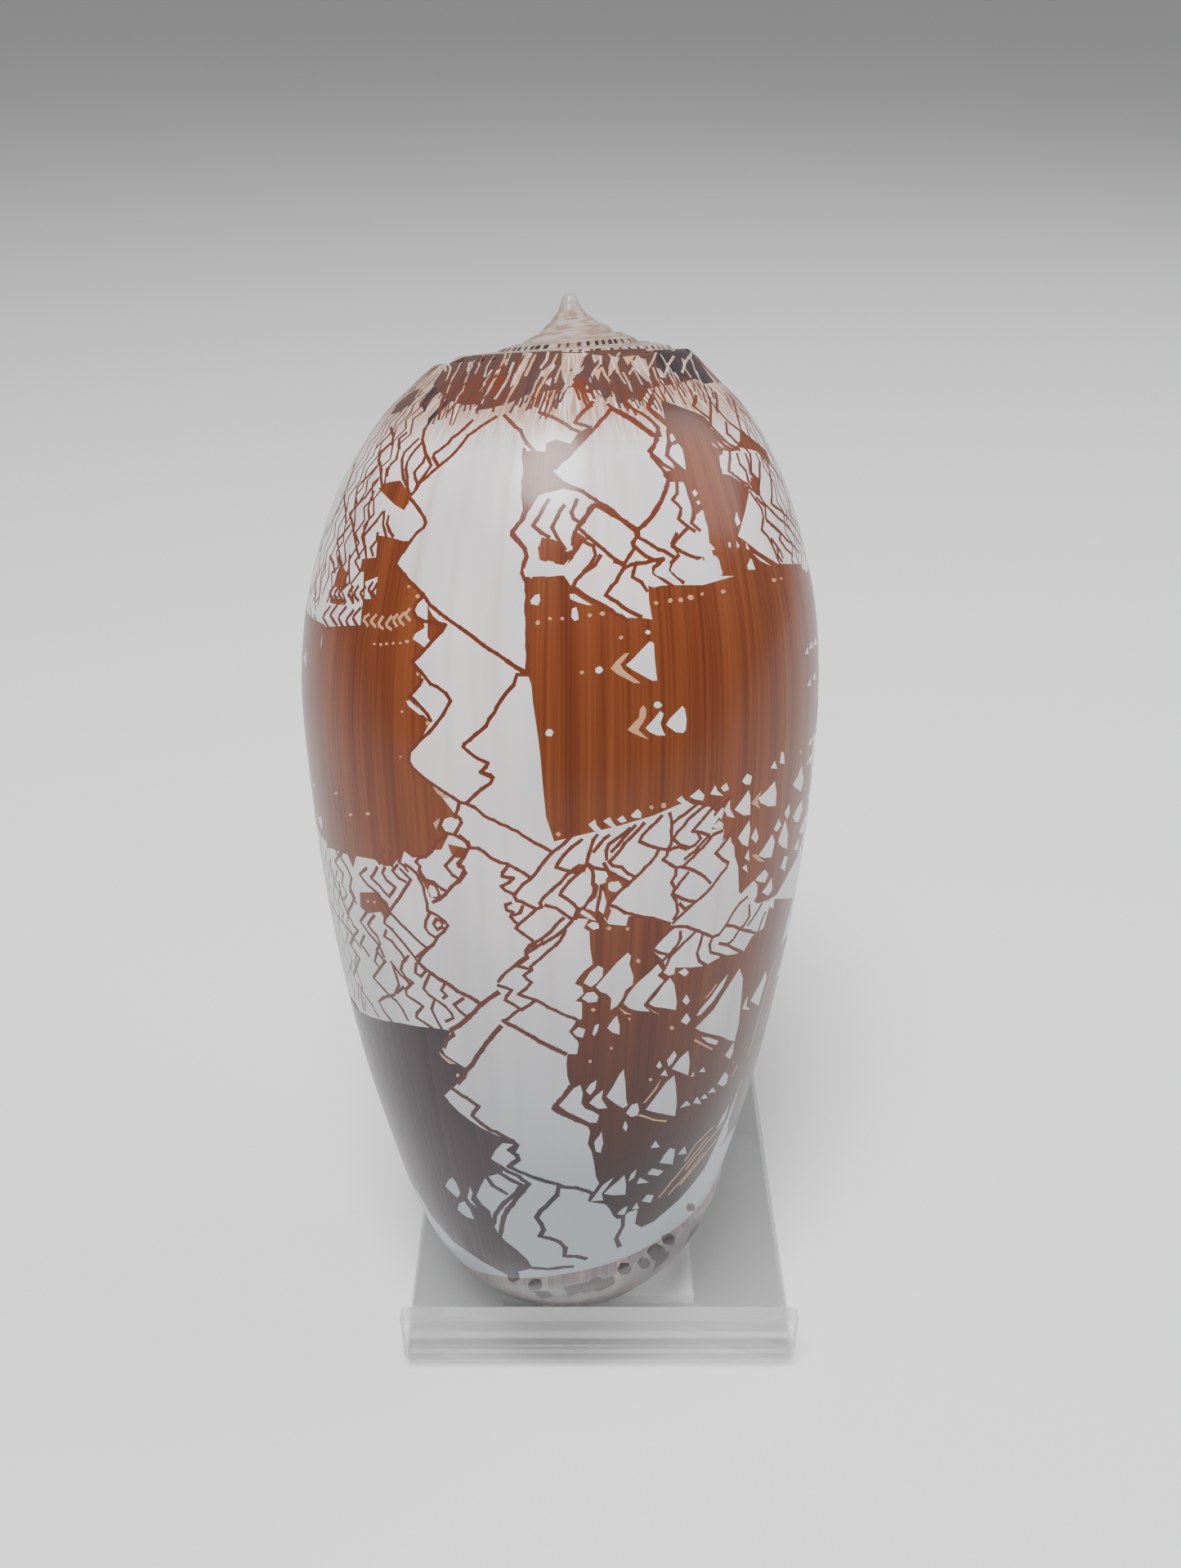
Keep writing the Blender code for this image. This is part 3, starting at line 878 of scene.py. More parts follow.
def back_flames(first, last):
    """Leaning flames and hairs under the shoulder."""
    growth = first
    while growth < last:
        wide = TRAVEL.uniform(*FLAME_WIDTHS)
        low = TRAVEL.uniform(*FLAME_TIPS)
        lean = TRAVEL.uniform(*FLAME_LEANS)
        corners = [(growth, FLAME_TOP), (growth + wide, FLAME_TOP),
                   (growth + wide * 0.7 + lean, low - 1.2), (growth + wide * 0.2 + lean, low)]
        add_mark(corners, TRAVEL.choice((BROWN, BROWN, DARK)))
        for k in range(HAIRS_PER_FLAME):
            g = growth + wide * k / HAIRS_PER_FLAME
            hair = [(g, HAIR_BENDS[0]), (g + lean * 0.7, HAIR_BENDS[1]),
                    (g + lean, low + TRAVEL.uniform(0, 2))]
            add_line(hair, HAIR_WIDTH)
        growth += wide + TRAVEL.uniform(*FLAME_SPACES)


print("nets over", NET_SPANS)

# %% [markdown]
# ## Band and spire
# The band is one broad mark under all others, so it goes on first. The spire has only rows of
# short dashes, at the heights where the photograph shows them.

# %% Band and spire, and the far side in order
BAND_STEP = 6.0
BAND_LAST = 201.0
BLOTCH_CHANCE = 0.3
BLOTCH_DROPS = (1.2, 2.5)
BLOTCH_SHAPE = [(-4, 1.6), (-2, 0.0), (4, 0.5), (2, 3)]
DASH_LENGTHS = (0.3, 0.7)
DASH_SPACES = (0.8, 1.4)
SPIRE_ROW_PIXELS = [(700, 420), (630, 432)]
SPIRE_DASHES = [(2.0, 7.0, 0.5), (5.0, 5.0, 0.4)]


def front_band():
    """The cream band at the front end, drawn darker as painted shade, with dark blotches."""
    steps = np.arange(OUTER_FIRST + 1, BAND_LAST, BAND_STEP)
    edge = [(float(g), front_limit(g)) for g in steps]
    add_mark(edge + [(steps[-1], LENGTH - END_MARGIN), (steps[0], LENGTH - END_MARGIN)], BAND)
    for g in steps[2:-2]:
        if TRAVEL.random() < BLOTCH_CHANCE:
            top = front_limit(g) + TRAVEL.uniform(*BLOTCH_DROPS)
            add_mark([(g + right, top + down) for right, down in BLOTCH_SHAPE], DARK)


def spire_dashes(along, first, gap, size):
    """A row of short brown dashes round the spire."""
    growth = OUTER_FIRST + first
    while growth < OUTER_LAST - 4:
        wide = TRAVEL.uniform(*DASH_LENGTHS) * gap
        corners = [(growth, along), (growth + wide, along + 0.05),
                   (growth + wide * 1.2, along + size), (growth + wide * 0.3, along + size * 0.9)]
        add_mark(corners, TRAVEL.choice((BROWN, DARK)))
        growth += gap * TRAVEL.uniform(*DASH_SPACES)


front_band()
for first, last in BACK_SPANS:
    travel(first, last)
    back_flames(first, last)
for span in NET_SPANS:
    zigzags(*span)
for block in BACK_BLOCKS:
    back_block(*block)
SPIRE_ROWS = [on_shell(*pixel) for pixel in SPIRE_ROW_PIXELS]
for row, dashes in zip(SPIRE_ROWS, SPIRE_DASHES):
    spire_dashes(row[1], *dashes)
print("far side:", len(MARKS), "marks; spire rows at", [round(float(r[1]), 2) for r in SPIRE_ROWS])

# %% [markdown]
# ## Marks of the upper shell, left of the white tent
# Each list follows one mark over the photograph, in its pixels.

# %% Upper left
UPPER_LEFT_BLOCKS = [
    [(463, 598), (475, 590), (490, 588), (498, 600), (501, 610), (500, 617), (495, 625), (483, 618)],
    [(462, 655), (480, 658), (493, 662), (502, 662), (498, 672), (484, 690), (491, 700), (440, 700),
     (443, 684), (460, 682)],
]
UPPER_LEFT_LINES = [
    [(607, 510), (588, 522), (573, 533), (558, 552), (547, 563), (535, 572), (523, 583), (513, 592),
     (510, 598), (502, 607), (501, 610), (505, 615), (512, 623), (519, 633), (521, 640), (518, 645),
     (510, 652), (503, 660), (498, 668), (490, 680), (484, 690), (491, 700)],
    [(578, 515), (567, 525), (553, 537), (543, 547), (532, 555), (530, 559), (535, 568), (537, 571)],
    [(558, 480), (547, 493), (537, 505), (528, 513), (520, 525), (518, 533), (517, 537), (519, 547),
     (521, 555), (525, 563), (527, 570), (522, 578), (515, 588)],
    [(521, 557), (517, 566), (510, 573), (507, 578), (508, 585), (511, 592), (508, 600)],
    [(516, 542), (508, 550), (502, 558), (498, 565), (497, 573), (498, 585), (499, 597), (500, 605)],
    [(512, 537), (502, 547), (495, 553), (492, 562), (492, 572), (494, 585), (497, 593)],
    [(497, 530), (489, 537), (488, 545), (489, 550)],
    [(487, 553), (485, 562), (478, 568), (474, 577), (474, 582)],
    [(465, 555), (463, 562), (467, 575), (466, 583), (468, 597)],
    [(478, 530), (461, 547)], [(478, 523), (481, 533), (480, 543)], [(477, 543), (463, 555)],
    [(462, 588), (453, 600), (442, 613), (428, 628), (432, 645), (435, 662), (437, 673), (440, 682)],
    [(458, 602), (452, 615), (450, 623), (452, 633), (449, 642), (443, 655)],
    [(460, 572), (448, 585), (437, 597), (436, 610), (437, 617)],
    [(421, 607), (423, 625), (423, 640)],
    [(428, 642), (420, 653), (413, 662), (415, 675), (418, 690), (420, 700)],
    [(468, 627), (461, 637), (452, 647), (443, 658), (447, 670), (448, 683)],
    [(462, 652), (461, 662), (454, 670), (456, 680)],
    [(470, 626), (469, 642), (473, 658)], [(475, 632), (473, 640), (477, 650), (481, 657)],
]
UPPER_LEFT_CHINKS = [
    [(511, 633), (516, 638), (513, 645), (509, 648), (504, 643), (505, 637)],
    [(502, 645), (503, 650), (500, 656), (497, 660), (495, 655), (497, 650)],
    [(483, 622), (475, 632), (473, 640), (477, 650), (481, 657), (479, 645), (482, 637), (487, 627)],
    [(499, 617), (493, 627), (487, 635), (484, 642), (487, 652), (492, 661), (493, 648), (497, 637)],
]
fill(*UPPER_LEFT_BLOCKS)
fill(*UPPER_LEFT_CHINKS, kind=GROUND)
pen(*UPPER_LEFT_LINES)
print("upper left:", len(MARKS), "marks so far")

# %% [markdown]
# ## Flames under the suture
# New colour starts at the suture as dark slanting flames that comb out into hairs.

# %% Flames
FLAMES = [
    [(578, 446), (600, 442), (600, 450), (594, 462), (585, 470), (572, 477), (558, 487), (545, 497),
     (535, 507), (525, 518), (520, 530), (524, 512), (535, 500), (543, 492), (553, 480), (563, 470),
     (575, 462)],
    [(557, 446), (580, 445), (575, 458), (563, 463), (550, 470), (540, 478), (530, 487), (523, 497),
     (520, 505), (515, 495), (520, 486), (526, 478), (535, 470), (540, 464), (548, 458), (553, 450)],
    [(800, 428), (845, 428), (846, 448), (838, 462), (822, 470), (806, 458)],
]
fill(*FLAMES, kind=DARK)
print("flames:", len(MARKS), "marks so far")

# %% [markdown]
# ## Marks of the upper shell, right of the white tent
# A block's edge could come from a picture on the skin, but a traced outline stays sharp at any
# distance. The brown block goes on first, and the ragged lines are drawn over it.

# %% Upper right
UPPER_RIGHT_BLOCKS = [
    [(642, 552), (653, 552), (667, 553), (669, 542), (680, 538), (698, 543), (707, 530), (725, 520),
     (723, 528), (710, 542), (693, 560), (672, 577), (687, 590), (703, 597), (715, 603), (697, 600),
     (677, 602), (667, 603), (660, 607), (650, 618), (645, 623), (640, 617), (640, 580)],
    [(660, 657), (677, 660), (683, 663), (693, 675), (700, 673), (702, 647), (708, 652), (720, 660),
     (710, 668), (690, 692), (668, 688), (660, 685), (658, 670)],
]
UPPER_RIGHT_LINES = [
    [(617, 508), (623, 515), (630, 522), (637, 527), (640, 535), (645, 543), (653, 552)],
    [(642, 550), (642, 580), (640, 613), (643, 622), (640, 632), (632, 643), (626, 650), (627, 655),
     (633, 662), (640, 670), (643, 680), (641, 690), (639, 700), (644, 713), (646, 800), (645, 825)],
    [(660, 505), (675, 510), (687, 517), (707, 528)],
    [(672, 577), (693, 560), (710, 542), (723, 528), (730, 520), (740, 510), (747, 501), (755, 504),
     (770, 513), (785, 524), (797, 533), (803, 535), (800, 545), (796, 553), (797, 558), (805, 566),
     (812, 577), (817, 585), (818, 593), (810, 613), (800, 630), (787, 643), (780, 648), (758, 633),
     (742, 620), (722, 608), (703, 597), (687, 590), (672, 577)],
    [(743, 495), (757, 503), (777, 513), (803, 535)],
    [(762, 480), (762, 492), (777, 502), (793, 512), (805, 523), (808, 533)],
    [(800, 487), (792, 500), (803, 510), (815, 520)],
    [(725, 492), (720, 498), (707, 510), (704, 517), (720, 522)],
    [(780, 648), (782, 658), (805, 672), (827, 682)],
    [(777, 662), (775, 668), (790, 680), (800, 685), (808, 688)],
    [(827, 653), (822, 665), (830, 675)],
]
UPPER_RIGHT_CELLS = [
    [(708, 645), (728, 618), (742, 625), (758, 635), (777, 650), (778, 658), (774, 665), (776, 672),
     (765, 690), (752, 685), (738, 672), (720, 658)],
    [(713, 662), (726, 668), (728, 680), (722, 692), (710, 698), (693, 697), (700, 680)],
]
ARROW_GROUND = [
    (628, 652), (636, 642), (648, 624), (658, 607), (672, 603), (690, 598), (712, 604), (727, 615),
    (710, 643), (703, 650), (697, 671), (690, 664), (682, 656), (672, 658), (664, 652), (660, 668),
    (652, 672), (644, 668)]
ARROW_LINES = [
    [(657, 607), (647, 622), (635, 642), (627, 652), (635, 662), (642, 672), (644, 682), (640, 697)],
    [(671, 612), (662, 627), (652, 643), (662, 652), (672, 657)],
    [(690, 618), (682, 632), (675, 646), (681, 657), (691, 672)],
    [(706, 612), (699, 625), (702, 635), (711, 641)],
    [(725, 617), (717, 630), (707, 644), (702, 652), (700, 667)],
]
fill(*UPPER_RIGHT_BLOCKS)
fill(ARROW_GROUND, kind=GROUND)
pen(*UPPER_RIGHT_LINES, *ARROW_LINES)
for cell in UPPER_RIGHT_CELLS:
    fill(cell, kind=GROUND)
    pen(cell + [cell[0]])
print("upper right:", len(MARKS), "marks so far")

# %% [markdown]
# ## The shoulder on the right
# The skin bends away from the camera here. The outlines are still read in the photograph's
# pixels, because the ray through each pixel puts it at the right place on the curve.

# %% Shoulder on the right
SHOULDER_BAND = [
    (808, 489), (822, 494), (838, 500), (852, 505), (862, 510), (868, 517), (870, 524), (880, 534),
    (893, 547), (905, 551), (893, 553), (885, 551), (882, 565), (884, 580), (893, 581), (905, 589),
    (917, 597), (916, 605), (912, 625), (905, 650), (903, 656), (912, 662), (928, 675), (952, 690),
    (990, 690), (993, 705), (882, 705), (884, 700), (880, 690), (872, 678), (868, 665), (866, 646),
    (862, 636), (858, 624), (848, 640), (846, 620), (840, 600), (838, 590), (818, 590), (811, 582),
    (812, 576), (826, 576), (822, 565), (815, 557), (818, 543), (816, 528), (812, 505)]
SHOULDER_CHINKS = [
    [(823, 545), (830, 543), (835, 550), (838, 565), (839, 575), (832, 572), (824, 562), (819, 557),
     (820, 550)],
    [(852, 630), (860, 624), (863, 637), (866, 645), (855, 643), (851, 637)],
    [(818, 535), (822, 530), (827, 538), (822, 541)], [(847, 603), (850, 599), (854, 604), (850, 608)],
    [(852, 614), (855, 612), (857, 616), (854, 618)], [(864, 669), (869, 665), (875, 672), (868, 675)],
    [(851, 669), (856, 665), (860, 673), (855, 676)], [(901, 626), (906, 640), (902, 644), (899, 636)],
    [(891, 664), (894, 664), (894, 670), (892, 670)], [(901, 662), (905, 668), (902, 671)],
    [(913, 664), (917, 673), (913, 671)], [(918, 683), (924, 697), (915, 697)],
    [(880, 558), (884, 556), (884, 566), (882, 574)], [(886, 558), (890, 556), (890, 576), (887, 574)],
    [(870, 541), (876, 546), (879, 549), (873, 545)], [(878, 540), (884, 546), (886, 549), (880, 545)],
    [(884, 539), (890, 544), (893, 547), (887, 543)], [(921, 677), (935, 686), (944, 693), (930, 686)],
]
SHOULDER_LINES = [
    [(918, 603), (925, 612), (932, 622), (934, 633), (933, 641), (932, 648), (940, 657), (944, 665),
     (948, 675), (954, 690)],
    [(875, 480), (877, 490), (877, 500), (884, 508), (893, 518), (905, 527), (918, 537), (928, 545),
     (938, 558)],
    [(890, 480), (897, 490), (900, 500), (903, 512), (906, 525), (915, 535), (925, 543), (935, 552),
     (940, 562)],
    [(868, 486), (870, 500), (869, 520), (880, 532), (893, 545), (905, 550)],
    [(852, 484), (848, 497), (858, 505), (868, 513)],
    [(889, 517), (890, 530), (900, 540), (912, 548), (917, 555)],
    [(893, 552), (892, 577), (903, 585), (915, 593), (920, 600)],
    [(902, 555), (905, 568), (913, 577), (915, 588), (922, 597), (927, 605)],
    [(912, 555), (917, 570), (918, 580), (926, 588), (929, 600)],
    [(918, 555), (919, 578), (928, 587)],
    [(925, 555), (930, 565), (929, 590), (929, 605), (936, 617), (945, 627), (960, 640), (972, 655),
     (980, 668)],
    [(934, 562), (942, 577), (944, 595), (944, 617), (955, 625), (965, 635), (975, 650), (982, 662)],
    [(940, 560), (948, 575), (957, 592), (965, 612), (967, 630), (975, 642), (983, 658)],
    [(926, 610), (936, 620), (937, 635), (950, 648), (955, 652), (954, 660), (962, 672), (970, 680)],
    [(938, 637), (948, 645), (957, 655), (968, 665), (978, 677)],
    [(944, 660), (950, 668), (952, 680), (957, 687)], [(948, 665), (955, 675), (958, 683)],
    [(905, 500), (918, 512), (930, 530), (940, 550), (946, 562)],
    [(798, 483), (792, 497), (806, 508), (818, 520), (817, 545), (815, 557), (824, 566), (836, 576)],
    [(763, 480), (762, 492), (777, 502), (793, 512), (806, 524), (804, 538), (794, 553), (812, 568),
     (826, 577)],
    [(818, 590), (812, 605), (808, 615), (800, 628), (790, 640), (781, 648)],
    [(829, 590), (828, 603), (823, 612), (834, 622), (830, 635), (842, 645), (850, 650)],
    [(842, 645), (832, 656), (822, 668), (832, 675), (845, 681), (860, 684)],
    [(838, 590), (843, 605), (848, 622), (847, 640), (856, 648)],
]
SHOULDER_SOLIDS = [
    [(905, 527), (918, 535), (930, 545), (938, 553), (943, 572), (936, 563), (925, 552), (912, 549),
     (900, 547), (905, 540)],
    [(918, 584), (928, 586), (930, 600), (926, 606), (920, 600)],
]
fill(SHOULDER_BAND)
fill(*SHOULDER_SOLIDS)
fill(*SHOULDER_CHINKS, kind=GROUND)
pen(*SHOULDER_LINES)
print("shoulder on the right:", len(MARKS), "marks so far")

# %% [markdown]
# ## Flames and hairs under the shoulder
# Each whorl's colour begins in dark flames that comb out into hairs. The flames are traced,
# and the hairs follow a rule with a seeded random run, because there are too many to trace.

# %% Flames under the shoulder
FLAME_BASES = [
    [(618, 432), (640, 431), (688, 430), (686, 446), (680, 460), (668, 470), (655, 478), (640, 486),
     (622, 494), (600, 500), (580, 503), (590, 490), (600, 478), (606, 466), (612, 450)],
    [(715, 430), (760, 428), (790, 427), (792, 440), (795, 462), (792, 480), (784, 492), (772, 486),
     (764, 495), (752, 480), (742, 488), (730, 474), (722, 482), (706, 476), (704, 462)],
    [(478, 508), (486, 494), (500, 482), (515, 474), (506, 490), (492, 503)],
]
FLAME_FIELD = [
    (560, 437), (620, 433), (700, 431), (780, 429), (842, 428), (862, 452), (850, 464), (826, 470),
    (800, 474), (770, 482), (735, 478), (700, 474), (660, 480), (625, 488), (596, 494), (566, 496),
    (545, 488), (530, 470), (542, 452)]
FLAME_DARK = [
    [(800, 428), (842, 428), (858, 446), (874, 468), (862, 470), (845, 461), (832, 470), (818, 455),
     (808, 462), (803, 445)],
]
FLAME_GAPS = [
    [(688, 432), (720, 432), (710, 443), (697, 453), (700, 462), (702, 468), (698, 473), (693, 472),
     (688, 462), (687, 447)],
    [(663, 455), (677, 443), (680, 448), (668, 462), (662, 460)],
    [(667, 467), (675, 462), (673, 472), (668, 470)],
    [(702, 458), (715, 447), (713, 453), (703, 460)],
    [(724, 433), (738, 435), (727, 445)],
    [(772, 445), (780, 437), (790, 440), (793, 450), (795, 460), (792, 467), (782, 457)],
    [(640, 432), (652, 433), (644, 446), (634, 458), (630, 470), (624, 474), (630, 456)],
    [(748, 436), (758, 438), (752, 452), (744, 462), (745, 448)],
    [(803, 450), (808, 452), (816, 462), (808, 462)], [(806, 463), (811, 466), (814, 473)],
]
FLAME_TANS = [[(762, 437), (777, 435), (768, 447)], [(726, 455), (736, 450), (732, 466)]]
HAIR_ROOTS = [(x, 468 + 8 * math.sin(x / 17)) for x in range(546, 872, 4)]
PALE_TOPS = [(x, 434 + 3 * math.sin(x)) for x in range(560, 850, 11)]
PALE_ROOTS = [(x, 445 + 12 * math.sin(x / 5)) for x in range(556, 860, 9)]
FLAME_EDGES = [[(617, 447), (600, 457)], [(620, 455), (595, 467)], [(640, 436), (630, 456)]]
HAIRS_ON_LEFT = 38
PALE_ON_LEFT = 20
LEFT_HAIR_ROOTS = [(x, 458) for x in range(500, 620, 9)]
PALE_KINDS = (GROUND, GROUND, CREAM)
THIN_PEN = 0.2
HAIR_SWAY = 3
HAIR_WIDTHS = (0.11, 0.22)


def hairs(roots, low, high, lean, kinds=(LINE, BROWN)):
    """Short fading hairs, leaning a little to one side, each from its root in pixels."""
    for x, y in roots:
        drop = WANDER.uniform(low, high)
        sway = WANDER.uniform(-HAIR_SWAY, HAIR_SWAY)
        middle = (x + lean * drop * 0.5 + sway, y + drop * 0.5)
        pen([(x, y), middle, (x + lean * drop, y + drop)], width=WANDER.uniform(*HAIR_WIDTHS),
            kind=WANDER.choice(kinds))


fill(FLAME_FIELD, *FLAME_BASES)
fill(*FLAME_DARK, kind=DARK)
hairs(HAIR_ROOTS[:HAIRS_ON_LEFT], low=18, high=46, lean=-0.35)
hairs(PALE_ROOTS[:PALE_ON_LEFT], low=20, high=44, lean=-0.5, kinds=PALE_KINDS)
hairs(PALE_ROOTS[PALE_ON_LEFT:], low=16, high=36, lean=0.45, kinds=PALE_KINDS)
hairs(PALE_TOPS[::2], low=14, high=30, lean=-0.45, kinds=(GROUND,))
hairs(HAIR_ROOTS[HAIRS_ON_LEFT:], low=14, high=36, lean=0.5)
hairs(LEFT_HAIR_ROOTS, low=20, high=50, lean=-0.9)
fill(*FLAME_GAPS, kind=GROUND)
fill(*FLAME_TANS, kind=CREAM)
pen(*FLAME_EDGES, width=THIN_PEN)
print("flames under the shoulder:", len(MARKS), "marks so far")

# %% [markdown]
# ## Spots and arrowheads
# Dots and arrowheads come up again and again. A stamp would make them all alike, so each dot
# gets an uneven edge of its own, and each arrowhead is drawn with the pen at its own size.

# %% Spots and arrowheads
LARGE_SPOT = 5
SPOT_WANDER = (0.8, 1.1)
SPOT_SQUASH = 0.9
CHEVRON_SHAPE = [(1.0, -1.0), (0.2, -0.3), (0.0, 0.0), (0.3, 0.4), (0.9, 1.0)]


def spots(*places, kind=GROUND):
    """Small round marks: pixel x, pixel y and radius."""
    for x, y, size in places:
        around = [math.radians(a) for a in range(0, 360, 60 if size < LARGE_SPOT else 30)]
        reach = [size * WANDER.uniform(*SPOT_WANDER) for _ in around]
        fill([(x + r * math.cos(a), y + r * SPOT_SQUASH * math.sin(a))
              for a, r in zip(around, reach)], kind=kind)


def chevrons(apexes, reach, rise, kind=LINE, width=PEN):
    """Arrowheads that point left, each from its apex in pixels."""
    for x, y in apexes:
        pen([(x + reach * right, y + rise * down) for right, down in CHEVRON_SHAPE],
            width=width, kind=kind)


print("an arrowhead has", len(CHEVRON_SHAPE), "points")

# %% [markdown]
# ## The brown block on the left
# The white windows could be cut out of the block. Laying them on top is simpler, and small
# arrowheads and cream dots can then lie on the windows and on the brown alike.

# %% Middle left
LEFT_BLOCK = [
    (484, 690), (494, 704), (507, 716), (518, 728), (510, 738), (505, 748), (509, 755), (518, 761),
    (520, 768), (508, 776), (505, 782), (514, 788), (519, 792), (512, 803), (503, 811), (515, 822),
    (516, 832), (501, 852), (518, 875), (527, 883), (515, 905), (502, 920), (499, 927), (503, 937),
    (520, 952), (535, 968), (552, 990), (560, 1000), (540, 1040), (470, 1042), (400, 1038), (398, 980),
    (394, 930), (391, 880), (390, 830), (392, 800), (396, 765), (440, 764), (444, 735), (445, 700),
    (462, 684)]
LEFT_SOLIDS = [
    [(523, 741), (530, 752), (545, 763), (540, 772), (528, 787), (523, 780)],
    [(417, 690), (424, 700), (424, 716), (419, 720), (408, 718), (412, 702)],
    [(403, 733), (419, 733), (419, 740), (405, 741)],
]
LEFT_CHINKS = [
    [(518, 734), (522, 742), (521, 758), (516, 757), (508, 750), (511, 744)],
    [(525, 745), (530, 747), (540, 757), (547, 762), (538, 761), (530, 754)],
    [(519, 769), (522, 775), (521, 786), (517, 789), (505, 782), (509, 775)],
    [(508, 845), (518, 832), (526, 838), (536, 844), (545, 851), (546, 860), (540, 870), (533, 880),
     (527, 880), (521, 871), (511, 861), (502, 853)],
    [(497, 858), (501, 857), (510, 866), (519, 874), (514, 875), (506, 869), (500, 864)],
]
LEFT_LINES = [
    [(484, 690), (494, 704), (507, 716), (518, 728), (526, 740), (538, 750), (552, 761), (562, 767),
     (576, 778), (592, 790), (608, 800), (622, 810), (632, 818), (645, 825)],
    [(645, 824), (632, 826), (628, 838), (620, 848), (612, 858), (604, 872), (594, 888), (582, 900),
     (568, 910), (566, 914), (580, 925), (592, 932), (597, 934), (594, 940), (588, 945), (600, 951)],
    [(519, 730), (510, 738), (505, 748), (509, 755), (518, 761), (545, 764), (540, 773), (530, 782),
     (520, 795), (512, 803), (504, 811), (515, 822), (526, 837), (535, 841), (545, 849), (550, 857),
     (548, 864), (542, 875), (535, 885), (525, 897), (515, 905), (502, 920)],
    [(517, 832), (507, 844), (501, 852), (511, 862), (522, 873), (528, 882)],
    [(404, 680), (408, 690), (410, 702)], [(414, 682), (417, 692), (413, 704)],
    [(428, 680), (427, 695), (423, 708), (421, 718)], [(398, 690), (393, 705), (392, 722), (389, 740)],
    [(388, 700), (385, 720), (386, 745)], [(385, 752), (388, 770), (392, 785)],
    [(380, 745), (381, 765), (385, 782)], [(379, 800), (383, 820), (388, 845)],
    [(378, 840), (382, 870), (385, 905)],
]
fill(LEFT_BLOCK)
fill(*LEFT_SOLIDS)
LEFT_WINDOW = [[(396, 737), (420, 741), (443, 738), (441, 765), (398, 767)]]
fill(*LEFT_WINDOW, kind=GROUND)
LEFT_WINDOW_SMALL = [[(447, 712), (462, 706), (459, 733), (446, 733)]]
fill(*LEFT_WINDOW_SMALL, kind=GROUND)
fill(*LEFT_CHINKS, kind=GROUND)
pen(*LEFT_LINES)
CREAM_PEN = 0.22
LEFT_ARROWS_LARGE = [(395, 756), (404, 753), (414, 757), (423, 760), (432, 757)]
chevrons(LEFT_ARROWS_LARGE, reach=9, rise=13)
LEFT_ARROWS_SMALL = [(403, 726), (409, 728), (415, 727), (426, 727), (433, 727), (441, 727)]
chevrons(LEFT_ARROWS_SMALL, reach=6, rise=9)
LEFT_ARROWS_TINY = [(451, 722), (456, 724)]
chevrons(LEFT_ARROWS_TINY, reach=5, rise=9)
LEFT_ARROWS_CREAM = [
    (445, 759), (454, 760), (463, 763), (473, 763), (481, 759), (488, 757), (496, 752),
]
chevrons(LEFT_ARROWS_CREAM, reach=6, rise=7, kind=CREAM, width=CREAM_PEN)
LEFT_EDGE_DOTS = [(511, 730, 3.2), (511, 825, 2.4), (524, 885, 3.4), (500, 718, 2)]
spots(*LEFT_EDGE_DOTS, kind=CREAM)
LEFT_ROW_DOTS = [
    (458, 788, 2), (466, 789, 2.4), (473, 788, 2.2), (481, 787, 2.2), (490, 787, 2), (498, 785, 3),
    (492, 871, 2), (490, 926, 1.5),
]
spots(*LEFT_ROW_DOTS, kind=CREAM)
print("middle left:", len(MARKS), "marks so far")

# %% [markdown]
# ## The brown block in the middle
# The same order again: brown block, white tents, cream arrowheads, fine lines, and dots last.
# What comes later covers what came before, so no line is hidden by a fill.

# %% Middle
MIDDLE_BLOCK = [
    (643, 706), (643, 740), (645, 770), (648, 800), (647, 815), (645, 824), (650, 838), (652, 860),
    (655, 880), (658, 900), (661, 925), (664, 960), (668, 1000), (678, 1030), (715, 1021), (760, 1010),
    (800, 998), (830, 985), (870, 975), (920, 960), (960, 950), (985, 938), (1002, 905), (1004, 850),
    (1000, 780), (993, 700), (960, 690), (935, 694), (905, 703), (860, 716), (825, 716), (793, 717),
    (794, 735), (798, 758), (785, 756), (765, 756), (745, 746), (725, 735), (700, 719), (690, 704)]
MIDDLE_CELLS = [
    [(644, 703), (650, 708), (656, 700), (660, 690), (655, 683), (645, 692), (640, 698)],
    [(660, 700), (668, 706), (680, 705), (682, 697), (678, 688), (670, 686), (662, 692)],
    [(688, 700), (695, 690), (705, 680), (722, 680), (720, 690), (710, 700), (703, 708), (700, 715),
     (696, 710)],
    [(697, 727), (703, 727), (715, 735), (725, 741), (717, 740), (707, 737), (698, 733)],
    [(700, 745), (705, 743), (707, 750), (708, 758), (703, 760), (699, 755)],
    [(649, 735), (655, 728), (660, 727), (661, 735), (658, 741), (650, 739)],
    [(766, 814), (775, 806), (785, 795), (795, 785), (800, 787), (801, 805), (804, 833), (798, 833),
     (785, 826), (773, 819)],
    [(790, 891), (800, 880), (808, 870), (812, 874), (808, 885), (810, 892), (814, 900), (804, 900),
     (795, 896)],
]
MIDDLE_CHEVRONS = [
    [(747, 818), (755, 808), (764, 800), (770, 799), (765, 806), (759, 813), (763, 820), (772, 827),
     (784, 836), (776, 836), (765, 830), (755, 825)],
    [(768, 893), (775, 885), (782, 878), (783, 868), (787, 863), (791, 868), (790, 878), (786, 885),
     (781, 893), (786, 898), (794, 905), (783, 901), (774, 897)],
]
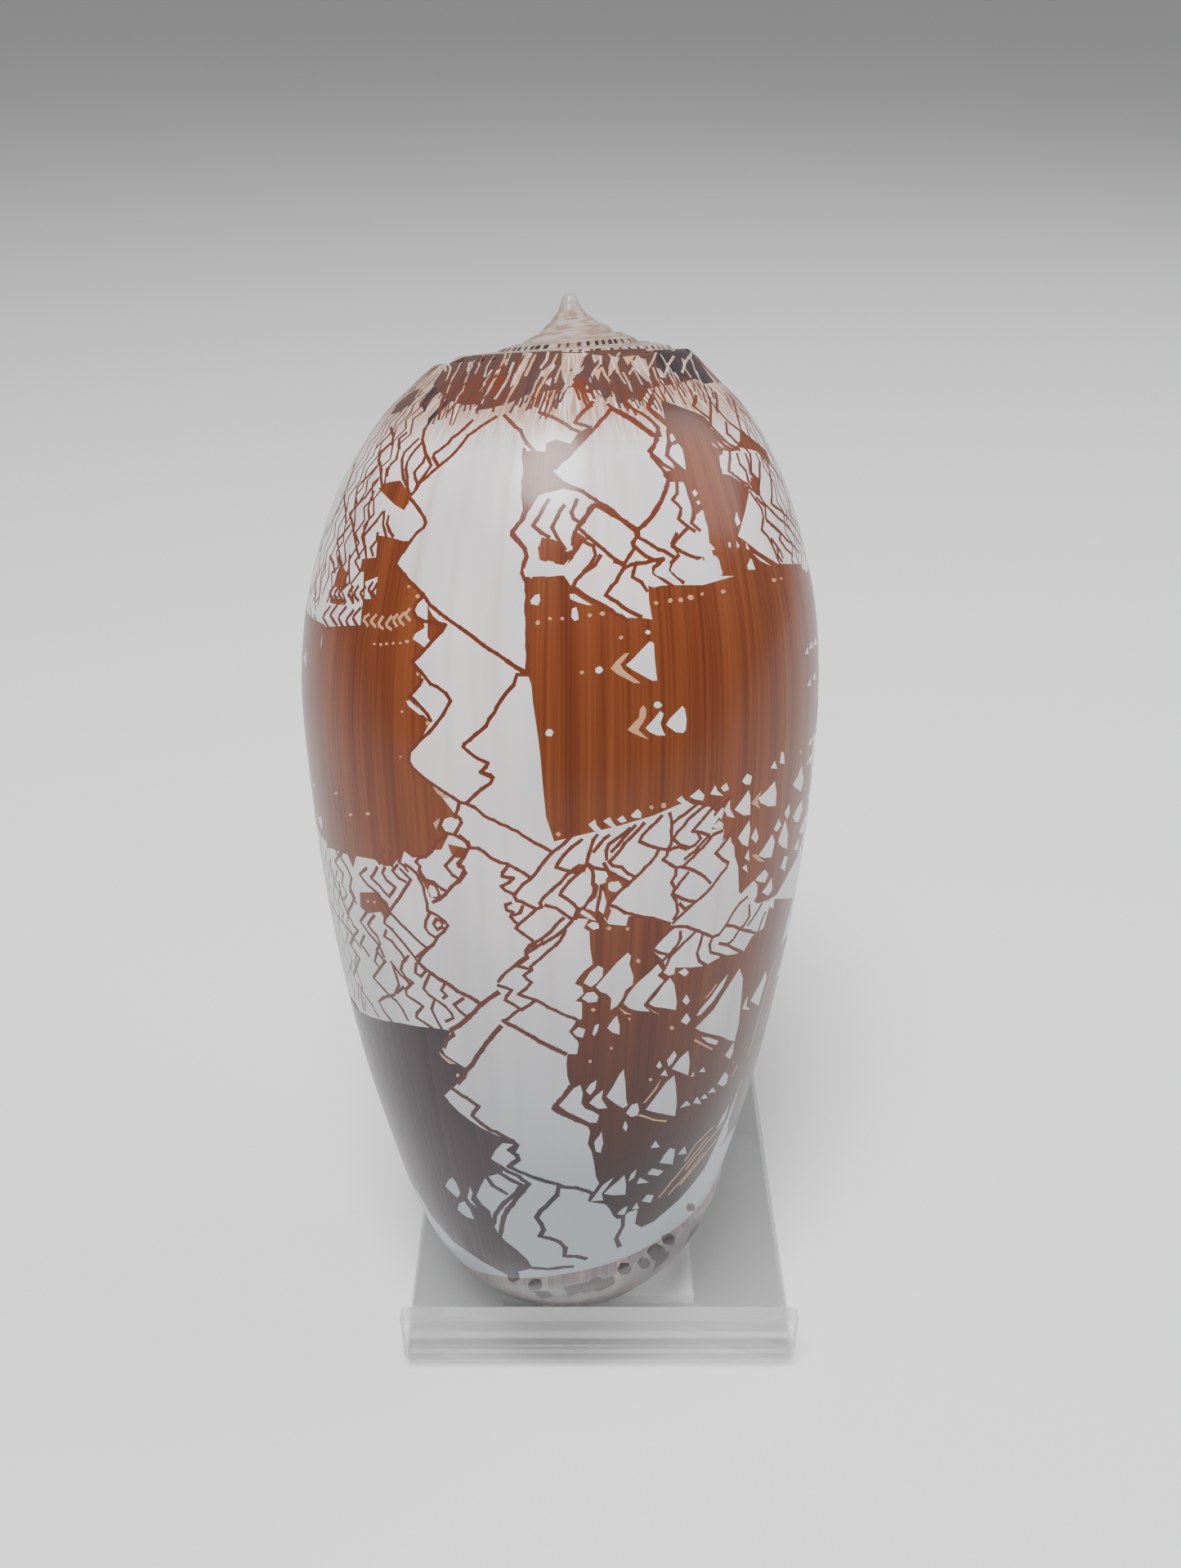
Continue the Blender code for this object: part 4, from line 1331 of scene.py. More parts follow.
MIDDLE_LINES = [
    [(734, 680), (728, 690), (715, 700), (704, 710), (700, 718), (712, 725), (725, 734), (740, 742),
     (755, 752), (768, 758)],
    [(752, 686), (765, 694), (758, 705), (748, 718), (742, 728), (755, 738), (770, 748), (785, 756)],
    [(778, 688), (776, 700), (774, 706), (785, 713), (792, 722)],
    [(812, 684), (800, 695), (797, 703), (810, 710), (822, 716)],
    [(830, 680), (822, 688), (818, 697), (826, 706), (836, 713)],
    [(765, 694), (780, 690), (800, 686), (812, 684)],
    [(620, 809), (632, 817), (647, 823)],
]
fill(MIDDLE_BLOCK)
fill(*MIDDLE_CELLS, kind=GROUND)
fill(*MIDDLE_CHEVRONS, kind=CREAM)
pen(*MIDDLE_LINES)
MIDDLE_WHITE_DOTS = [(733, 820, 5), (793, 774, 3.6), (672, 897, 5), (805, 863, 5)]
spots(*MIDDLE_WHITE_DOTS)
MIDDLE_CREAM_DOTS = [
    (712, 823, 3), (760, 780, 3), (658, 762, 3.5), (673, 757, 2.5), (688, 757, 2.5), (722, 753, 3),
    (737, 751, 3.4), (803, 738, 3), (820, 735, 3.5),
]
spots(*MIDDLE_CREAM_DOTS, kind=CREAM)
print("middle:", len(MARKS), "marks so far")

# %% [markdown]
# ## Arrowheads on the right of the block
# The small tents near the edge of the view differ a lot in size, so the larger ones are
# traced one by one. The tiny splinters share one shape and need only a place each.

# %% Row of arrowheads on the right
ARROW_CELLS = [
    [(781, 700), (790, 695), (797, 690), (798, 703), (806, 708), (815, 715), (800, 719), (792, 716),
     (786, 709), (780, 706)],
    [(800, 700), (808, 692), (815, 688), (820, 690), (818, 698), (823, 704), (833, 713), (828, 714),
     (815, 709), (805, 704)],
    [(821, 699), (827, 690), (834, 683), (837, 686), (830, 699), (838, 706), (848, 711), (832, 706)],
    [(835, 696), (842, 689), (847, 685), (845, 695), (850, 702), (860, 708), (848, 706), (840, 701)],
    [(848, 693), (855, 685), (860, 683), (860, 693), (864, 699), (871, 705), (862, 704), (852, 699)],
    [(864, 691), (870, 684), (876, 680), (880, 686), (884, 704), (876, 702), (868, 697)],
    [(914, 693), (918, 684), (920, 685), (924, 697), (917, 697)],
    [(815, 887), (820, 879), (828, 871), (835, 864), (838, 868), (840, 880), (839, 893), (836, 897),
     (827, 896), (820, 891)],
    [(943, 940), (948, 931), (951, 941)], [(954, 934), (956, 920), (959, 921), (960, 935)],
]
ROW_UNDER_BLOCK = [
    [(720, 1009), (728, 1003), (730, 1010), (736, 1016), (727, 1017)],
    [(738, 1005), (746, 1000), (750, 1007), (757, 1014), (748, 1012)],
    [(755, 1003), (762, 998), (767, 1005), (760, 1007)],
    [(772, 998), (780, 990), (785, 995), (784, 1001), (775, 1001)],
]
fill(*ARROW_CELLS, kind=GROUND)
RIGHT_DOTS = [
    (845, 731, 4.5), (859, 727, 2.5), (885, 724, 3), (833, 734, 3.5), (947, 710, 3), (956, 708, 2),
    (980, 920, 2.5), (797, 988, 3), (683, 1021, 3.5), (812, 986, 4),
]
spots(*RIGHT_DOTS, kind=CREAM)
SPLINTERS = [(987, 797), (992, 790), (997, 786), (1000, 781), (990, 836), (996, 828), (991, 908),
             (995, 903), (1000, 897), (994, 930), (988, 940)]
SPLINTER_SHAPE = [(-2, 4), (1, -6), (2.5, 3)]
fill(*[[(x + dx, y + dy) for dx, dy in SPLINTER_SHAPE] for x, y in SPLINTERS], kind=GROUND)
fill(*ROW_UNDER_BLOCK, kind=GROUND)
print("row of arrowheads on the right:", len(MARKS), "marks so far")

# %% [markdown]
# ## The large tents below the block
# Two pigment lines that start together travel apart and meet others, and so leave white
# tents. The lines are drawn and not left over between fills, since they are thin and even.

# %% Tents below the block
TENT_SOLIDS = [
    [(700, 1062), (708, 1057), (719, 1058), (716, 1067), (705, 1071), (696, 1068)],
    [(724, 1070), (733, 1085), (730, 1098), (722, 1105), (725, 1085)],
    [(738, 1078), (746, 1071), (768, 1077), (770, 1082), (752, 1099), (745, 1108), (748, 1115),
     (743, 1128), (738, 1120), (742, 1105), (739, 1093), (735, 1084)],
    [(721, 1140), (714, 1136), (720, 1125), (704, 1124), (706, 1111), (722, 1113), (737, 1121),
     (745, 1131), (766, 1133), (769, 1121), (790, 1122), (820, 1131), (826, 1136), (808, 1150),
     (798, 1161), (776, 1166), (762, 1180), (758, 1200), (728, 1200), (724, 1170)],
]
TENT_CELLS = [
    [(724, 1050), (730, 1038), (737, 1030), (740, 1040), (738, 1055), (733, 1058), (726, 1055)],
    [(736, 1068), (742, 1072), (741, 1080), (733, 1083), (728, 1080), (729, 1072)],
    [(750, 1122), (756, 1117), (763, 1118), (768, 1122), (767, 1128), (760, 1132), (752, 1129)],
    [(712, 1113), (722, 1119), (730, 1127), (720, 1124), (710, 1118)],
    [(718, 1132), (725, 1128), (732, 1130), (733, 1136), (726, 1138)],
]
TENT_LINES = [
    [(597, 934), (594, 940), (588, 945), (600, 948), (603, 951), (600, 958), (590, 966), (580, 974),
     (570, 983), (562, 983)],
    [(570, 983), (580, 988), (592, 997), (605, 1004), (620, 1011), (640, 1022), (655, 1031),
     (668, 1038), (676, 1043)],
    [(705, 1018), (690, 1033), (676, 1043), (665, 1056), (655, 1070), (648, 1077), (640, 1083),
     (632, 1092), (628, 1097), (632, 1102), (640, 1104), (648, 1108), (656, 1113), (650, 1118),
     (642, 1125), (635, 1131), (631, 1136), (640, 1143), (650, 1150), (655, 1155), (645, 1162),
     (643, 1167), (645, 1172), (635, 1180)],
    [(562, 1022), (572, 1030), (575, 1037), (585, 1038), (592, 1043), (600, 1050), (612, 1055),
     (622, 1058), (632, 1063), (640, 1069), (650, 1075)],
    [(573, 1040), (568, 1050), (561, 1060), (567, 1062), (570, 1068), (567, 1072), (561, 1080)],
    [(622, 1059), (615, 1068), (614, 1072), (620, 1074), (628, 1075), (622, 1080), (613, 1085),
     (618, 1090), (628, 1094)],
    [(626, 1104), (619, 1108), (622, 1114), (628, 1117), (624, 1122), (630, 1128), (635, 1131)],
    [(640, 1108), (636, 1117), (630, 1120)],
    [(712, 1027), (700, 1036), (690, 1046), (682, 1057), (680, 1062), (690, 1065), (700, 1067),
     (694, 1070), (685, 1080), (675, 1090), (665, 1098), (661, 1105), (662, 1110), (655, 1113)],
    [(716, 1060), (706, 1070), (697, 1080), (688, 1090), (686, 1095), (694, 1101), (702, 1106),
     (707, 1112), (704, 1122), (698, 1128), (690, 1137), (682, 1145), (672, 1150), (664, 1155),
     (652, 1160)],
    [(690, 1123), (680, 1133), (668, 1145), (655, 1154)],
    [(668, 1108), (680, 1112), (690, 1118), (697, 1123), (705, 1124)],
    [(730, 1022), (724, 1035), (721, 1045), (718, 1057), (724, 1064), (727, 1072), (725, 1082),
     (728, 1090), (722, 1100), (715, 1110), (708, 1113)],
    [(718, 1057), (728, 1062), (740, 1065), (752, 1070), (760, 1075), (768, 1078)],
    [(787, 1008), (775, 1022), (765, 1032), (755, 1045), (745, 1055), (750, 1060), (760, 1062),
     (767, 1068), (775, 1073)],
    [(770, 1014), (755, 1027), (745, 1034), (742, 1041), (743, 1052)],
    [(778, 1010), (762, 1026), (748, 1042)], [(745, 1022), (735, 1032), (726, 1042)],
    [(810, 998), (795, 1013), (787, 1022), (783, 1030), (793, 1035), (808, 1039), (818, 1040),
     (817, 1047), (811, 1052), (820, 1058), (828, 1062), (827, 1072), (822, 1080), (826, 1087),
     (822, 1095), (827, 1103), (829, 1116), (825, 1125)],
    [(806, 1040), (803, 1047), (795, 1057), (785, 1067), (775, 1075), (768, 1083), (760, 1090),
     (752, 1098), (745, 1107), (755, 1111), (765, 1117), (780, 1121), (800, 1124), (820, 1130)],
    [(740, 1057), (745, 1066), (746, 1072)], [(736, 1084), (733, 1100), (730, 1116), (738, 1122)],
    [(820, 995), (822, 1010), (821, 1033), (817, 1040)],
]
fill(*TENT_SOLIDS)
fill(*TENT_CELLS, kind=GROUND)
TENT_HOLE = [(752, 1085, 8)]
spots(*TENT_HOLE)
TENT_DOTS = [(745, 1136, 3), (732, 1150, 3), (768, 1137, 2.5)]
spots(*TENT_DOTS, kind=CREAM)
pen(*TENT_LINES)
print("tents below the block:", len(MARKS), "marks so far")

# %% [markdown]
# ## Lower left edge of the middle block
# Here the block breaks up into lines. Small brown solids fill the corners where lines meet,
# and the lines come after them, so that the corners join without a gap.

# %% Lower left edge of the block
LEFT_LOWER_LINES = [
    [(502, 922), (500, 930), (505, 940), (515, 950), (530, 960), (545, 970), (562, 981), (561, 990),
     (557, 998), (563, 1002), (565, 1007), (560, 1015), (556, 1022), (545, 1020), (537, 1013),
     (542, 1003)],
    [(556, 1022), (570, 1030), (573, 1037), (567, 1050), (560, 1058), (567, 1061), (569, 1066),
     (563, 1075), (553, 1085), (545, 1093), (538, 1100), (530, 1105)],
    [(545, 1022), (535, 1030), (527, 1042), (520, 1048), (513, 1050), (509, 1055), (514, 1060),
     (512, 1066), (520, 1075), (530, 1080), (540, 1088), (545, 1091)],
    [(560, 1043), (552, 1053), (545, 1060), (553, 1070), (560, 1075)],
    [(515, 1066), (513, 1075), (518, 1085), (520, 1095), (523, 1105), (524, 1115), (535, 1120),
     (545, 1127), (548, 1132), (542, 1140), (535, 1147), (530, 1155), (522, 1163), (515, 1170),
     (512, 1178)],
    [(524, 1118), (521, 1127), (520, 1135), (525, 1142), (532, 1147)],
    [(542, 1130), (534, 1125), (531, 1132), (536, 1137), (541, 1134)],
    [(490, 1064), (503, 1076), (500, 1081), (493, 1092), (485, 1103), (476, 1117), (490, 1130),
     (503, 1143), (515, 1155), (523, 1161)],
    [(476, 1117), (471, 1124), (470, 1130), (480, 1138), (490, 1150), (500, 1162), (508, 1172),
     (512, 1178)],
    [(472, 1138), (470, 1146), (480, 1153), (490, 1165), (497, 1176)],
    [(448, 1062), (440, 1071), (450, 1083), (463, 1094), (475, 1112)],
    [(462, 1062), (454, 1074), (465, 1085), (476, 1098)],
    [(471, 1062), (468, 1068), (473, 1078), (484, 1086), (476, 1098)],
    [(486, 1059), (480, 1065), (488, 1075), (496, 1079)], [(496, 1058), (508, 1068), (514, 1076)],
    [(492, 1042), (488, 1055), (499, 1066)], [(478, 1042), (476, 1052), (480, 1060)],
    [(470, 1040), (466, 1048), (472, 1058)], [(460, 1040), (458, 1048), (464, 1057)],
    [(416, 975), (411, 986), (418, 1000), (421, 1015)], [(418, 1040), (410, 1055), (420, 1070)],
    [(424, 1035), (416, 1048), (425, 1062), (430, 1075), (428, 1090), (436, 1105)],
    [(402, 1010), (410, 1030), (412, 1045)], [(402, 1100), (413, 1120), (428, 1140), (441, 1160)],
    [(432, 1105), (425, 1118), (433, 1133), (438, 1138), (428, 1155), (440, 1173)],
    [(448, 1117), (441, 1128), (452, 1143), (463, 1156), (470, 1172)],
    [(458, 1120), (450, 1132), (460, 1145), (465, 1155), (461, 1164), (471, 1178)],
    [(446, 1145), (441, 1155), (452, 1170)], [(405, 1060), (411, 1085), (420, 1100)],
    [(428, 1085), (434, 1098), (431, 1106)], [(415, 1080), (418, 1100), (425, 1118)],
]
LEFT_LOWER_SOLIDS = [
    [(400, 1036), (510, 1038), (540, 1024), (532, 1034), (520, 1048), (505, 1050), (495, 1042),
     (480, 1060), (470, 1060), (458, 1052), (436, 1048), (432, 1062), (425, 1046)],
    [(548, 1033), (571, 1038), (566, 1050), (558, 1050), (552, 1045)],
    [(514, 1064), (524, 1078), (534, 1082), (540, 1096), (536, 1101), (526, 1098), (522, 1088),
     (516, 1078)],
    [(440, 1092), (460, 1092), (474, 1104), (478, 1114), (470, 1124), (466, 1116), (450, 1118),
     (441, 1110)],
    [(522, 1158), (530, 1156), (514, 1176), (508, 1170)],
]
LEFT_LOWER_CELLS = [
    [(542, 1003), (552, 1000), (560, 1004), (558, 1012), (553, 1019), (545, 1017), (541, 1010)],
    [(551, 1026), (560, 1027), (568, 1035), (560, 1034), (552, 1031)],
    [(526, 1083), (531, 1085), (535, 1092), (535, 1097), (528, 1098), (524, 1090)],
]
fill(*LEFT_LOWER_SOLIDS)
fill(*LEFT_LOWER_CELLS, kind=GROUND)
LEFT_LOWER_CREAM = [
    [(530, 1007), (538, 1001), (537, 1008), (539, 1017), (533, 1014)],
    [(530, 963), (540, 970), (550, 977), (543, 977), (535, 971)],
]
fill(*LEFT_LOWER_CREAM, kind=CREAM)
pen(*LEFT_LOWER_LINES)
LEFT_LOWER_DOTS = [
    (411, 971, 2.5), (429, 997, 2.5), (450, 996, 3), (450, 1103, 2), (458, 1104, 2), (537, 1129, 2),
]
spots(*LEFT_LOWER_DOTS, kind=CREAM)
print("lower left edge of the block:", len(MARKS), "marks so far")

# %% [markdown]
# ## Lower right edge of the middle block
# The second brown block begins at this edge. Its tents are cut in as pale fills, and one
# larger tent reaches through it.

# %% Lower right edge of the block
RIGHT_LOWER_SOLIDS = [
    [(845, 984), (870, 988), (880, 1000), (870, 1015), (886, 1015), (884, 1030), (893, 1022),
     (899, 1048), (903, 1060), (904, 1092), (927, 1106), (945, 1100), (951, 1094), (960, 1078),
     (975, 1050), (988, 1005), (992, 975), (1002, 930), (985, 936), (960, 948), (920, 958),
     (870, 973), (830, 983)],
    [(944, 1100), (979, 1099), (971, 1130), (961, 1180), (952, 1200), (890, 1200), (880, 1170),
     (898, 1168), (910, 1164), (920, 1146), (934, 1136)],
]
RIGHT_LOWER_CELLS = [
    [(828, 979), (834, 974), (838, 979), (846, 984), (835, 984)],
    [(844, 975), (855, 966), (862, 973), (860, 980), (850, 978)],
    [(869, 972), (875, 961), (878, 968), (885, 974), (875, 973)],
    [(882, 964), (889, 958), (892, 966), (886, 969)],
    [(908, 956), (914, 947), (920, 950), (918, 960), (912, 960)],
    [(899, 991), (907, 980), (916, 967), (918, 975), (918, 997), (910, 998)],
    [(928, 977), (938, 968), (948, 956), (950, 970), (949, 986), (940, 987), (930, 982)],
    [(970, 960), (976, 950), (981, 936), (983, 955), (980, 969), (972, 963)],
    [(988, 975), (994, 958), (999, 946), (999, 965), (996, 982), (990, 980)],
    [(970, 1000), (975, 990), (981, 979), (982, 990), (977, 1006), (973, 1006)],
    [(978, 1018), (985, 1000), (989, 988), (987, 1008), (982, 1021)],
    [(960, 995), (966, 983), (966, 995), (963, 1003)], [(876, 996), (882, 985), (886, 991), (883, 1003)],
    [(886, 991), (893, 979), (893, 990), (899, 1001), (890, 999)],
    [(872, 1012), (880, 1004), (885, 1008), (884, 1015), (875, 1014)],
    [(852, 1015), (858, 1008), (866, 997), (868, 1005), (864, 1013), (864, 1020), (856, 1019)],
    [(880, 1043), (888, 1035), (893, 1029), (898, 1035), (899, 1048), (890, 1050)],
    [(903, 1025), (910, 1015), (917, 1004), (918, 1015), (915, 1036), (908, 1033)],
    [(919, 1025), (925, 1013), (928, 1025), (925, 1032)],
    [(928, 1047), (935, 1037), (945, 1021), (948, 1030), (944, 1049), (935, 1050)],
    [(952, 1030), (957, 1015), (961, 1003), (964, 1020), (963, 1039), (956, 1036)],
    [(947, 1015), (953, 1002), (956, 1010), (950, 1018)], [(971, 1040), (978, 1025), (976, 1040)],
    [(904, 1097), (915, 1085), (922, 1078), (927, 1083), (926, 1096), (921, 1105), (912, 1102)],
    [(924, 1077), (930, 1070), (936, 1064), (940, 1070), (936, 1080), (928, 1079)],
    [(932, 1092), (938, 1085), (944, 1074), (945, 1088), (940, 1096)],
    [(955, 1062), (960, 1048), (964, 1048), (960, 1066)], [(908, 1062), (913, 1058), (915, 1068)],
    [(911, 1050), (916, 1040), (917, 1054)], [(936, 1108), (942, 1100), (948, 1097), (946, 1112)],
]
RIGHT_LOWER_TENT = [
    (953, 1091), (962, 1078), (972, 1060), (982, 1035), (988, 1015), (993, 990), (992, 1010),
    (986, 1050), (983, 1080), (979, 1099), (965, 1098), (955, 1096)]
RIGHT_LOWER_LINES = [
    [(823, 1130), (835, 1118), (850, 1105), (865, 1092), (878, 1075), (888, 1062), (891, 1055),
     (885, 1052), (878, 1047), (876, 1044), (883, 1035), (890, 1027), (896, 1016)],
    [(823, 1134), (840, 1134), (855, 1140), (872, 1147), (880, 1143), (888, 1133), (895, 1120),
     (905, 1105), (914, 1098)],
    [(835, 1061), (850, 1066), (862, 1073), (869, 1081)],
    [(842, 1068), (832, 1080), (822, 1094), (835, 1100), (850, 1104)],
    [(832, 1106), (838, 1113), (846, 1108)], [(828, 1062), (836, 1060), (848, 1048), (860, 1037),
                                              (872, 1022), (884, 1016)],
    [(864, 985), (842, 1003), (824, 1026), (832, 1034), (843, 1038), (851, 1034), (857, 1026),
     (854, 1019)],
    [(880, 980), (866, 995), (856, 1008), (847, 1017), (857, 1020), (868, 1022), (860, 1031),
     (850, 1042), (838, 1051)],
    [(893, 975), (884, 986), (874, 998)], [(852, 985), (838, 996), (824, 1006)],
    [(889, 1133), (899, 1134), (905, 1137), (897, 1150), (890, 1156)],
    [(917, 1108), (917, 1121), (911, 1132), (905, 1137), (918, 1140), (927, 1143)],
    [(932, 1106), (924, 1120), (915, 1132)], [(936, 1117), (931, 1130), (927, 1143)],
    [(872, 1147), (868, 1156), (869, 1166), (880, 1168), (890, 1172)],
    [(880, 1155), (890, 1156), (897, 1160), (908, 1166)],
    [(860, 1143), (857, 1155), (853, 1166), (856, 1176), (866, 1182)],
    [(822, 1136), (808, 1150), (798, 1161), (806, 1166), (818, 1169)],
    [(832, 1140), (833, 1148), (829, 1156), (820, 1167), (812, 1176), (800, 1173)],
    [(851, 1140), (836, 1155), (820, 1171), (815, 1182)], [(818, 1040), (832, 1036), (840, 1040)],
]
fill(*RIGHT_LOWER_SOLIDS)
fill(*RIGHT_LOWER_CELLS, kind=GROUND)
fill(RIGHT_LOWER_TENT, kind=GROUND)
RIGHT_LOWER_CREAM = [
    [(919, 983), (928, 972), (932, 967), (927, 980), (930, 990)],
    [(920, 1047), (925, 1045), (936, 1055), (928, 1054)],
]
fill(*RIGHT_LOWER_CREAM, kind=CREAM)
pen(*RIGHT_LOWER_LINES)
print("lower right edge of the block:", len(MARKS), "marks so far")

# %% [markdown]
# ## Net and dark block on the lower left
# The net is a set of single lines. The dark block covers their ends, and the heaviest lines
# are drawn after it, because they cross its edge.

# %% Net and dark block on the lower left
NET_LINES = [
    [(512, 1178), (520, 1185), (530, 1193), (545, 1203), (560, 1213), (575, 1220), (588, 1230),
     (598, 1222), (609, 1215)],
    [(588, 1230), (580, 1238), (570, 1248), (562, 1256), (552, 1260), (555, 1266), (547, 1273),
     (543, 1282)],
    [(613, 1256), (605, 1265), (595, 1277), (585, 1292), (578, 1303), (570, 1310), (567, 1318),
     (560, 1325)],
    [(553, 1332), (565, 1340), (577, 1348), (586, 1354), (580, 1362), (578, 1366), (590, 1376),
     (600, 1383), (615, 1390), (628, 1397), (632, 1402), (628, 1411)],
    [(500, 1170), (493, 1178), (490, 1187), (497, 1197), (505, 1202), (497, 1212), (498, 1218),
     (508, 1225), (518, 1232), (510, 1240), (510, 1246), (520, 1252), (530, 1259)],
    [(510, 1180), (508, 1190), (515, 1195), (521, 1189)],
    [(526, 1193), (520, 1204), (518, 1210), (525, 1218), (535, 1225), (545, 1232), (552, 1240),
     (555, 1246), (546, 1250)],
    [(531, 1224), (528, 1235), (533, 1246), (540, 1258)],
    [(545, 1203), (540, 1212), (547, 1218), (542, 1222)],
    [(566, 1221), (556, 1230), (562, 1238), (575, 1247)],
    [(472, 1176), (460, 1190), (457, 1196), (465, 1205), (475, 1217), (485, 1225), (492, 1235),
     (500, 1249)],
    [(480, 1180), (485, 1195), (488, 1206), (482, 1217), (470, 1220), (464, 1226), (470, 1238),
     (482, 1253)],
    [(438, 1203), (445, 1215), (455, 1230), (463, 1244)], [(442, 1218), (445, 1236)],
    [(440, 1173), (436, 1184), (433, 1192)], [(462, 1164), (458, 1176), (464, 1184)],
    [(478, 1178), (490, 1192), (500, 1203)], [(486, 1216), (494, 1208)],
]
DARK_BLOCK = [
    (441, 1238), (455, 1245), (470, 1249), (490, 1252), (510, 1256), (530, 1258), (545, 1260),
    (552, 1262), (546, 1273), (541, 1283), (545, 1291), (560, 1301), (573, 1309), (565, 1322),
    (557, 1329), (545, 1340), (550, 1349), (562, 1361), (575, 1371), (590, 1381), (605, 1388),
    (620, 1394), (632, 1401), (615, 1399), (606, 1408), (600, 1420), (612, 1428), (616, 1434),
    (605, 1438), (595, 1440), (588, 1452), (583, 1464), (590, 1474), (600, 1482), (604, 1500),
    (612, 1512), (620, 1520), (633, 1530), (645, 1541), (652, 1552), (620, 1560), (590, 1544),
    (555, 1520), (528, 1488), (506, 1450), (488, 1400), (470, 1340), (456, 1290)]
HEAVY_NET_COUNT = 4
HEAVY_PEN = 0.38
pen(*NET_LINES[HEAVY_NET_COUNT:])
fill(DARK_BLOCK, kind=DARK)
DARK_BLOCK_HOLE = [
    [(544, 1341), (552, 1333), (562, 1341), (572, 1349), (577, 1362), (572, 1368), (560, 1358),
     (550, 1348)],
]
fill(*DARK_BLOCK_HOLE, kind=GROUND)
DARK_BLOCK_SLIVER = [[(537, 1287), (545, 1294), (558, 1302), (550, 1302), (540, 1293)]]
fill(*DARK_BLOCK_SLIVER, kind=CREAM)
DARK_BLOCK_DOT = [(560, 1316, 2.6)]
spots(*DARK_BLOCK_DOT, kind=CREAM)
pen(*NET_LINES[:HEAVY_NET_COUNT], width=HEAVY_PEN)
print("net and dark block on the lower left:", len(MARKS), "marks so far")

# %% [markdown]
# ## The lower middle
# Long lines run down towards the front end. The pen has a width in millimetres on the skin
# and not in pixels, so a line keeps its weight where the shell turns away.

# %% Lines of the lower middle
LOWER_LINES = [
    [(656, 1153), (648, 1158), (643, 1165), (645, 1170), (635, 1177), (630, 1182), (620, 1190),
     (609, 1201)],
    [(665, 1153), (655, 1160), (646, 1167)], [(630, 1182), (640, 1184), (647, 1186)],
    [(692, 1138), (685, 1150), (680, 1157), (670, 1165), (660, 1174), (648, 1183), (650, 1187),
     (640, 1194), (645, 1198), (650, 1203), (643, 1210), (634, 1217), (640, 1219), (650, 1222),
     (665, 1228), (680, 1237), (695, 1244), (708, 1249), (703, 1256), (699, 1263), (706, 1271)],
    [(609, 1206), (620, 1209), (626, 1213), (620, 1219), (618, 1224), (628, 1230), (637, 1235),
     (630, 1240), (622, 1247), (616, 1249)],
    [(655, 1224), (648, 1230), (637, 1236)],
]
HEAVY_LINES = [
    [(616, 1249), (630, 1257), (645, 1266), (660, 1274), (675, 1282), (692, 1290)],
    [(697, 1330), (690, 1342), (680, 1352), (677, 1357), (690, 1364), (705, 1371), (720, 1377)],
]
LOWER_BLOCK = [
    (721, 1140), (722, 1160), (725, 1180), (715, 1188), (708, 1196), (703, 1204), (712, 1208),
    (714, 1216), (704, 1225), (712, 1227), (712, 1246), (706, 1251), (700, 1263), (705, 1270),
    (708, 1278), (706, 1290), (694, 1290), (693, 1302), (694, 1317), (698, 1330), (690, 1342),
    (678, 1356), (690, 1364), (705, 1371), (718, 1376), (722, 1385),
    (719, 1400), (724, 1410), (727, 1425), (729, 1440), (733, 1448), (728, 1456), (721, 1464),
    (719, 1470), (728, 1472), (741, 1474), (746, 1480), (750, 1488), (755, 1492), (763, 1490),
    (768, 1484), (780, 1480), (777, 1498), (785, 1502), (800, 1495), (815, 1482), (830, 1469),
    (840, 1458), (850, 1446), (862, 1430), (874, 1405), (890, 1368), (912, 1310), (930, 1250),
    (946, 1200), (956, 1165), (910, 1168), (880, 1172), (862, 1182), (845, 1184), (815, 1184),
    (812, 1176), (796, 1161), (770, 1150)]
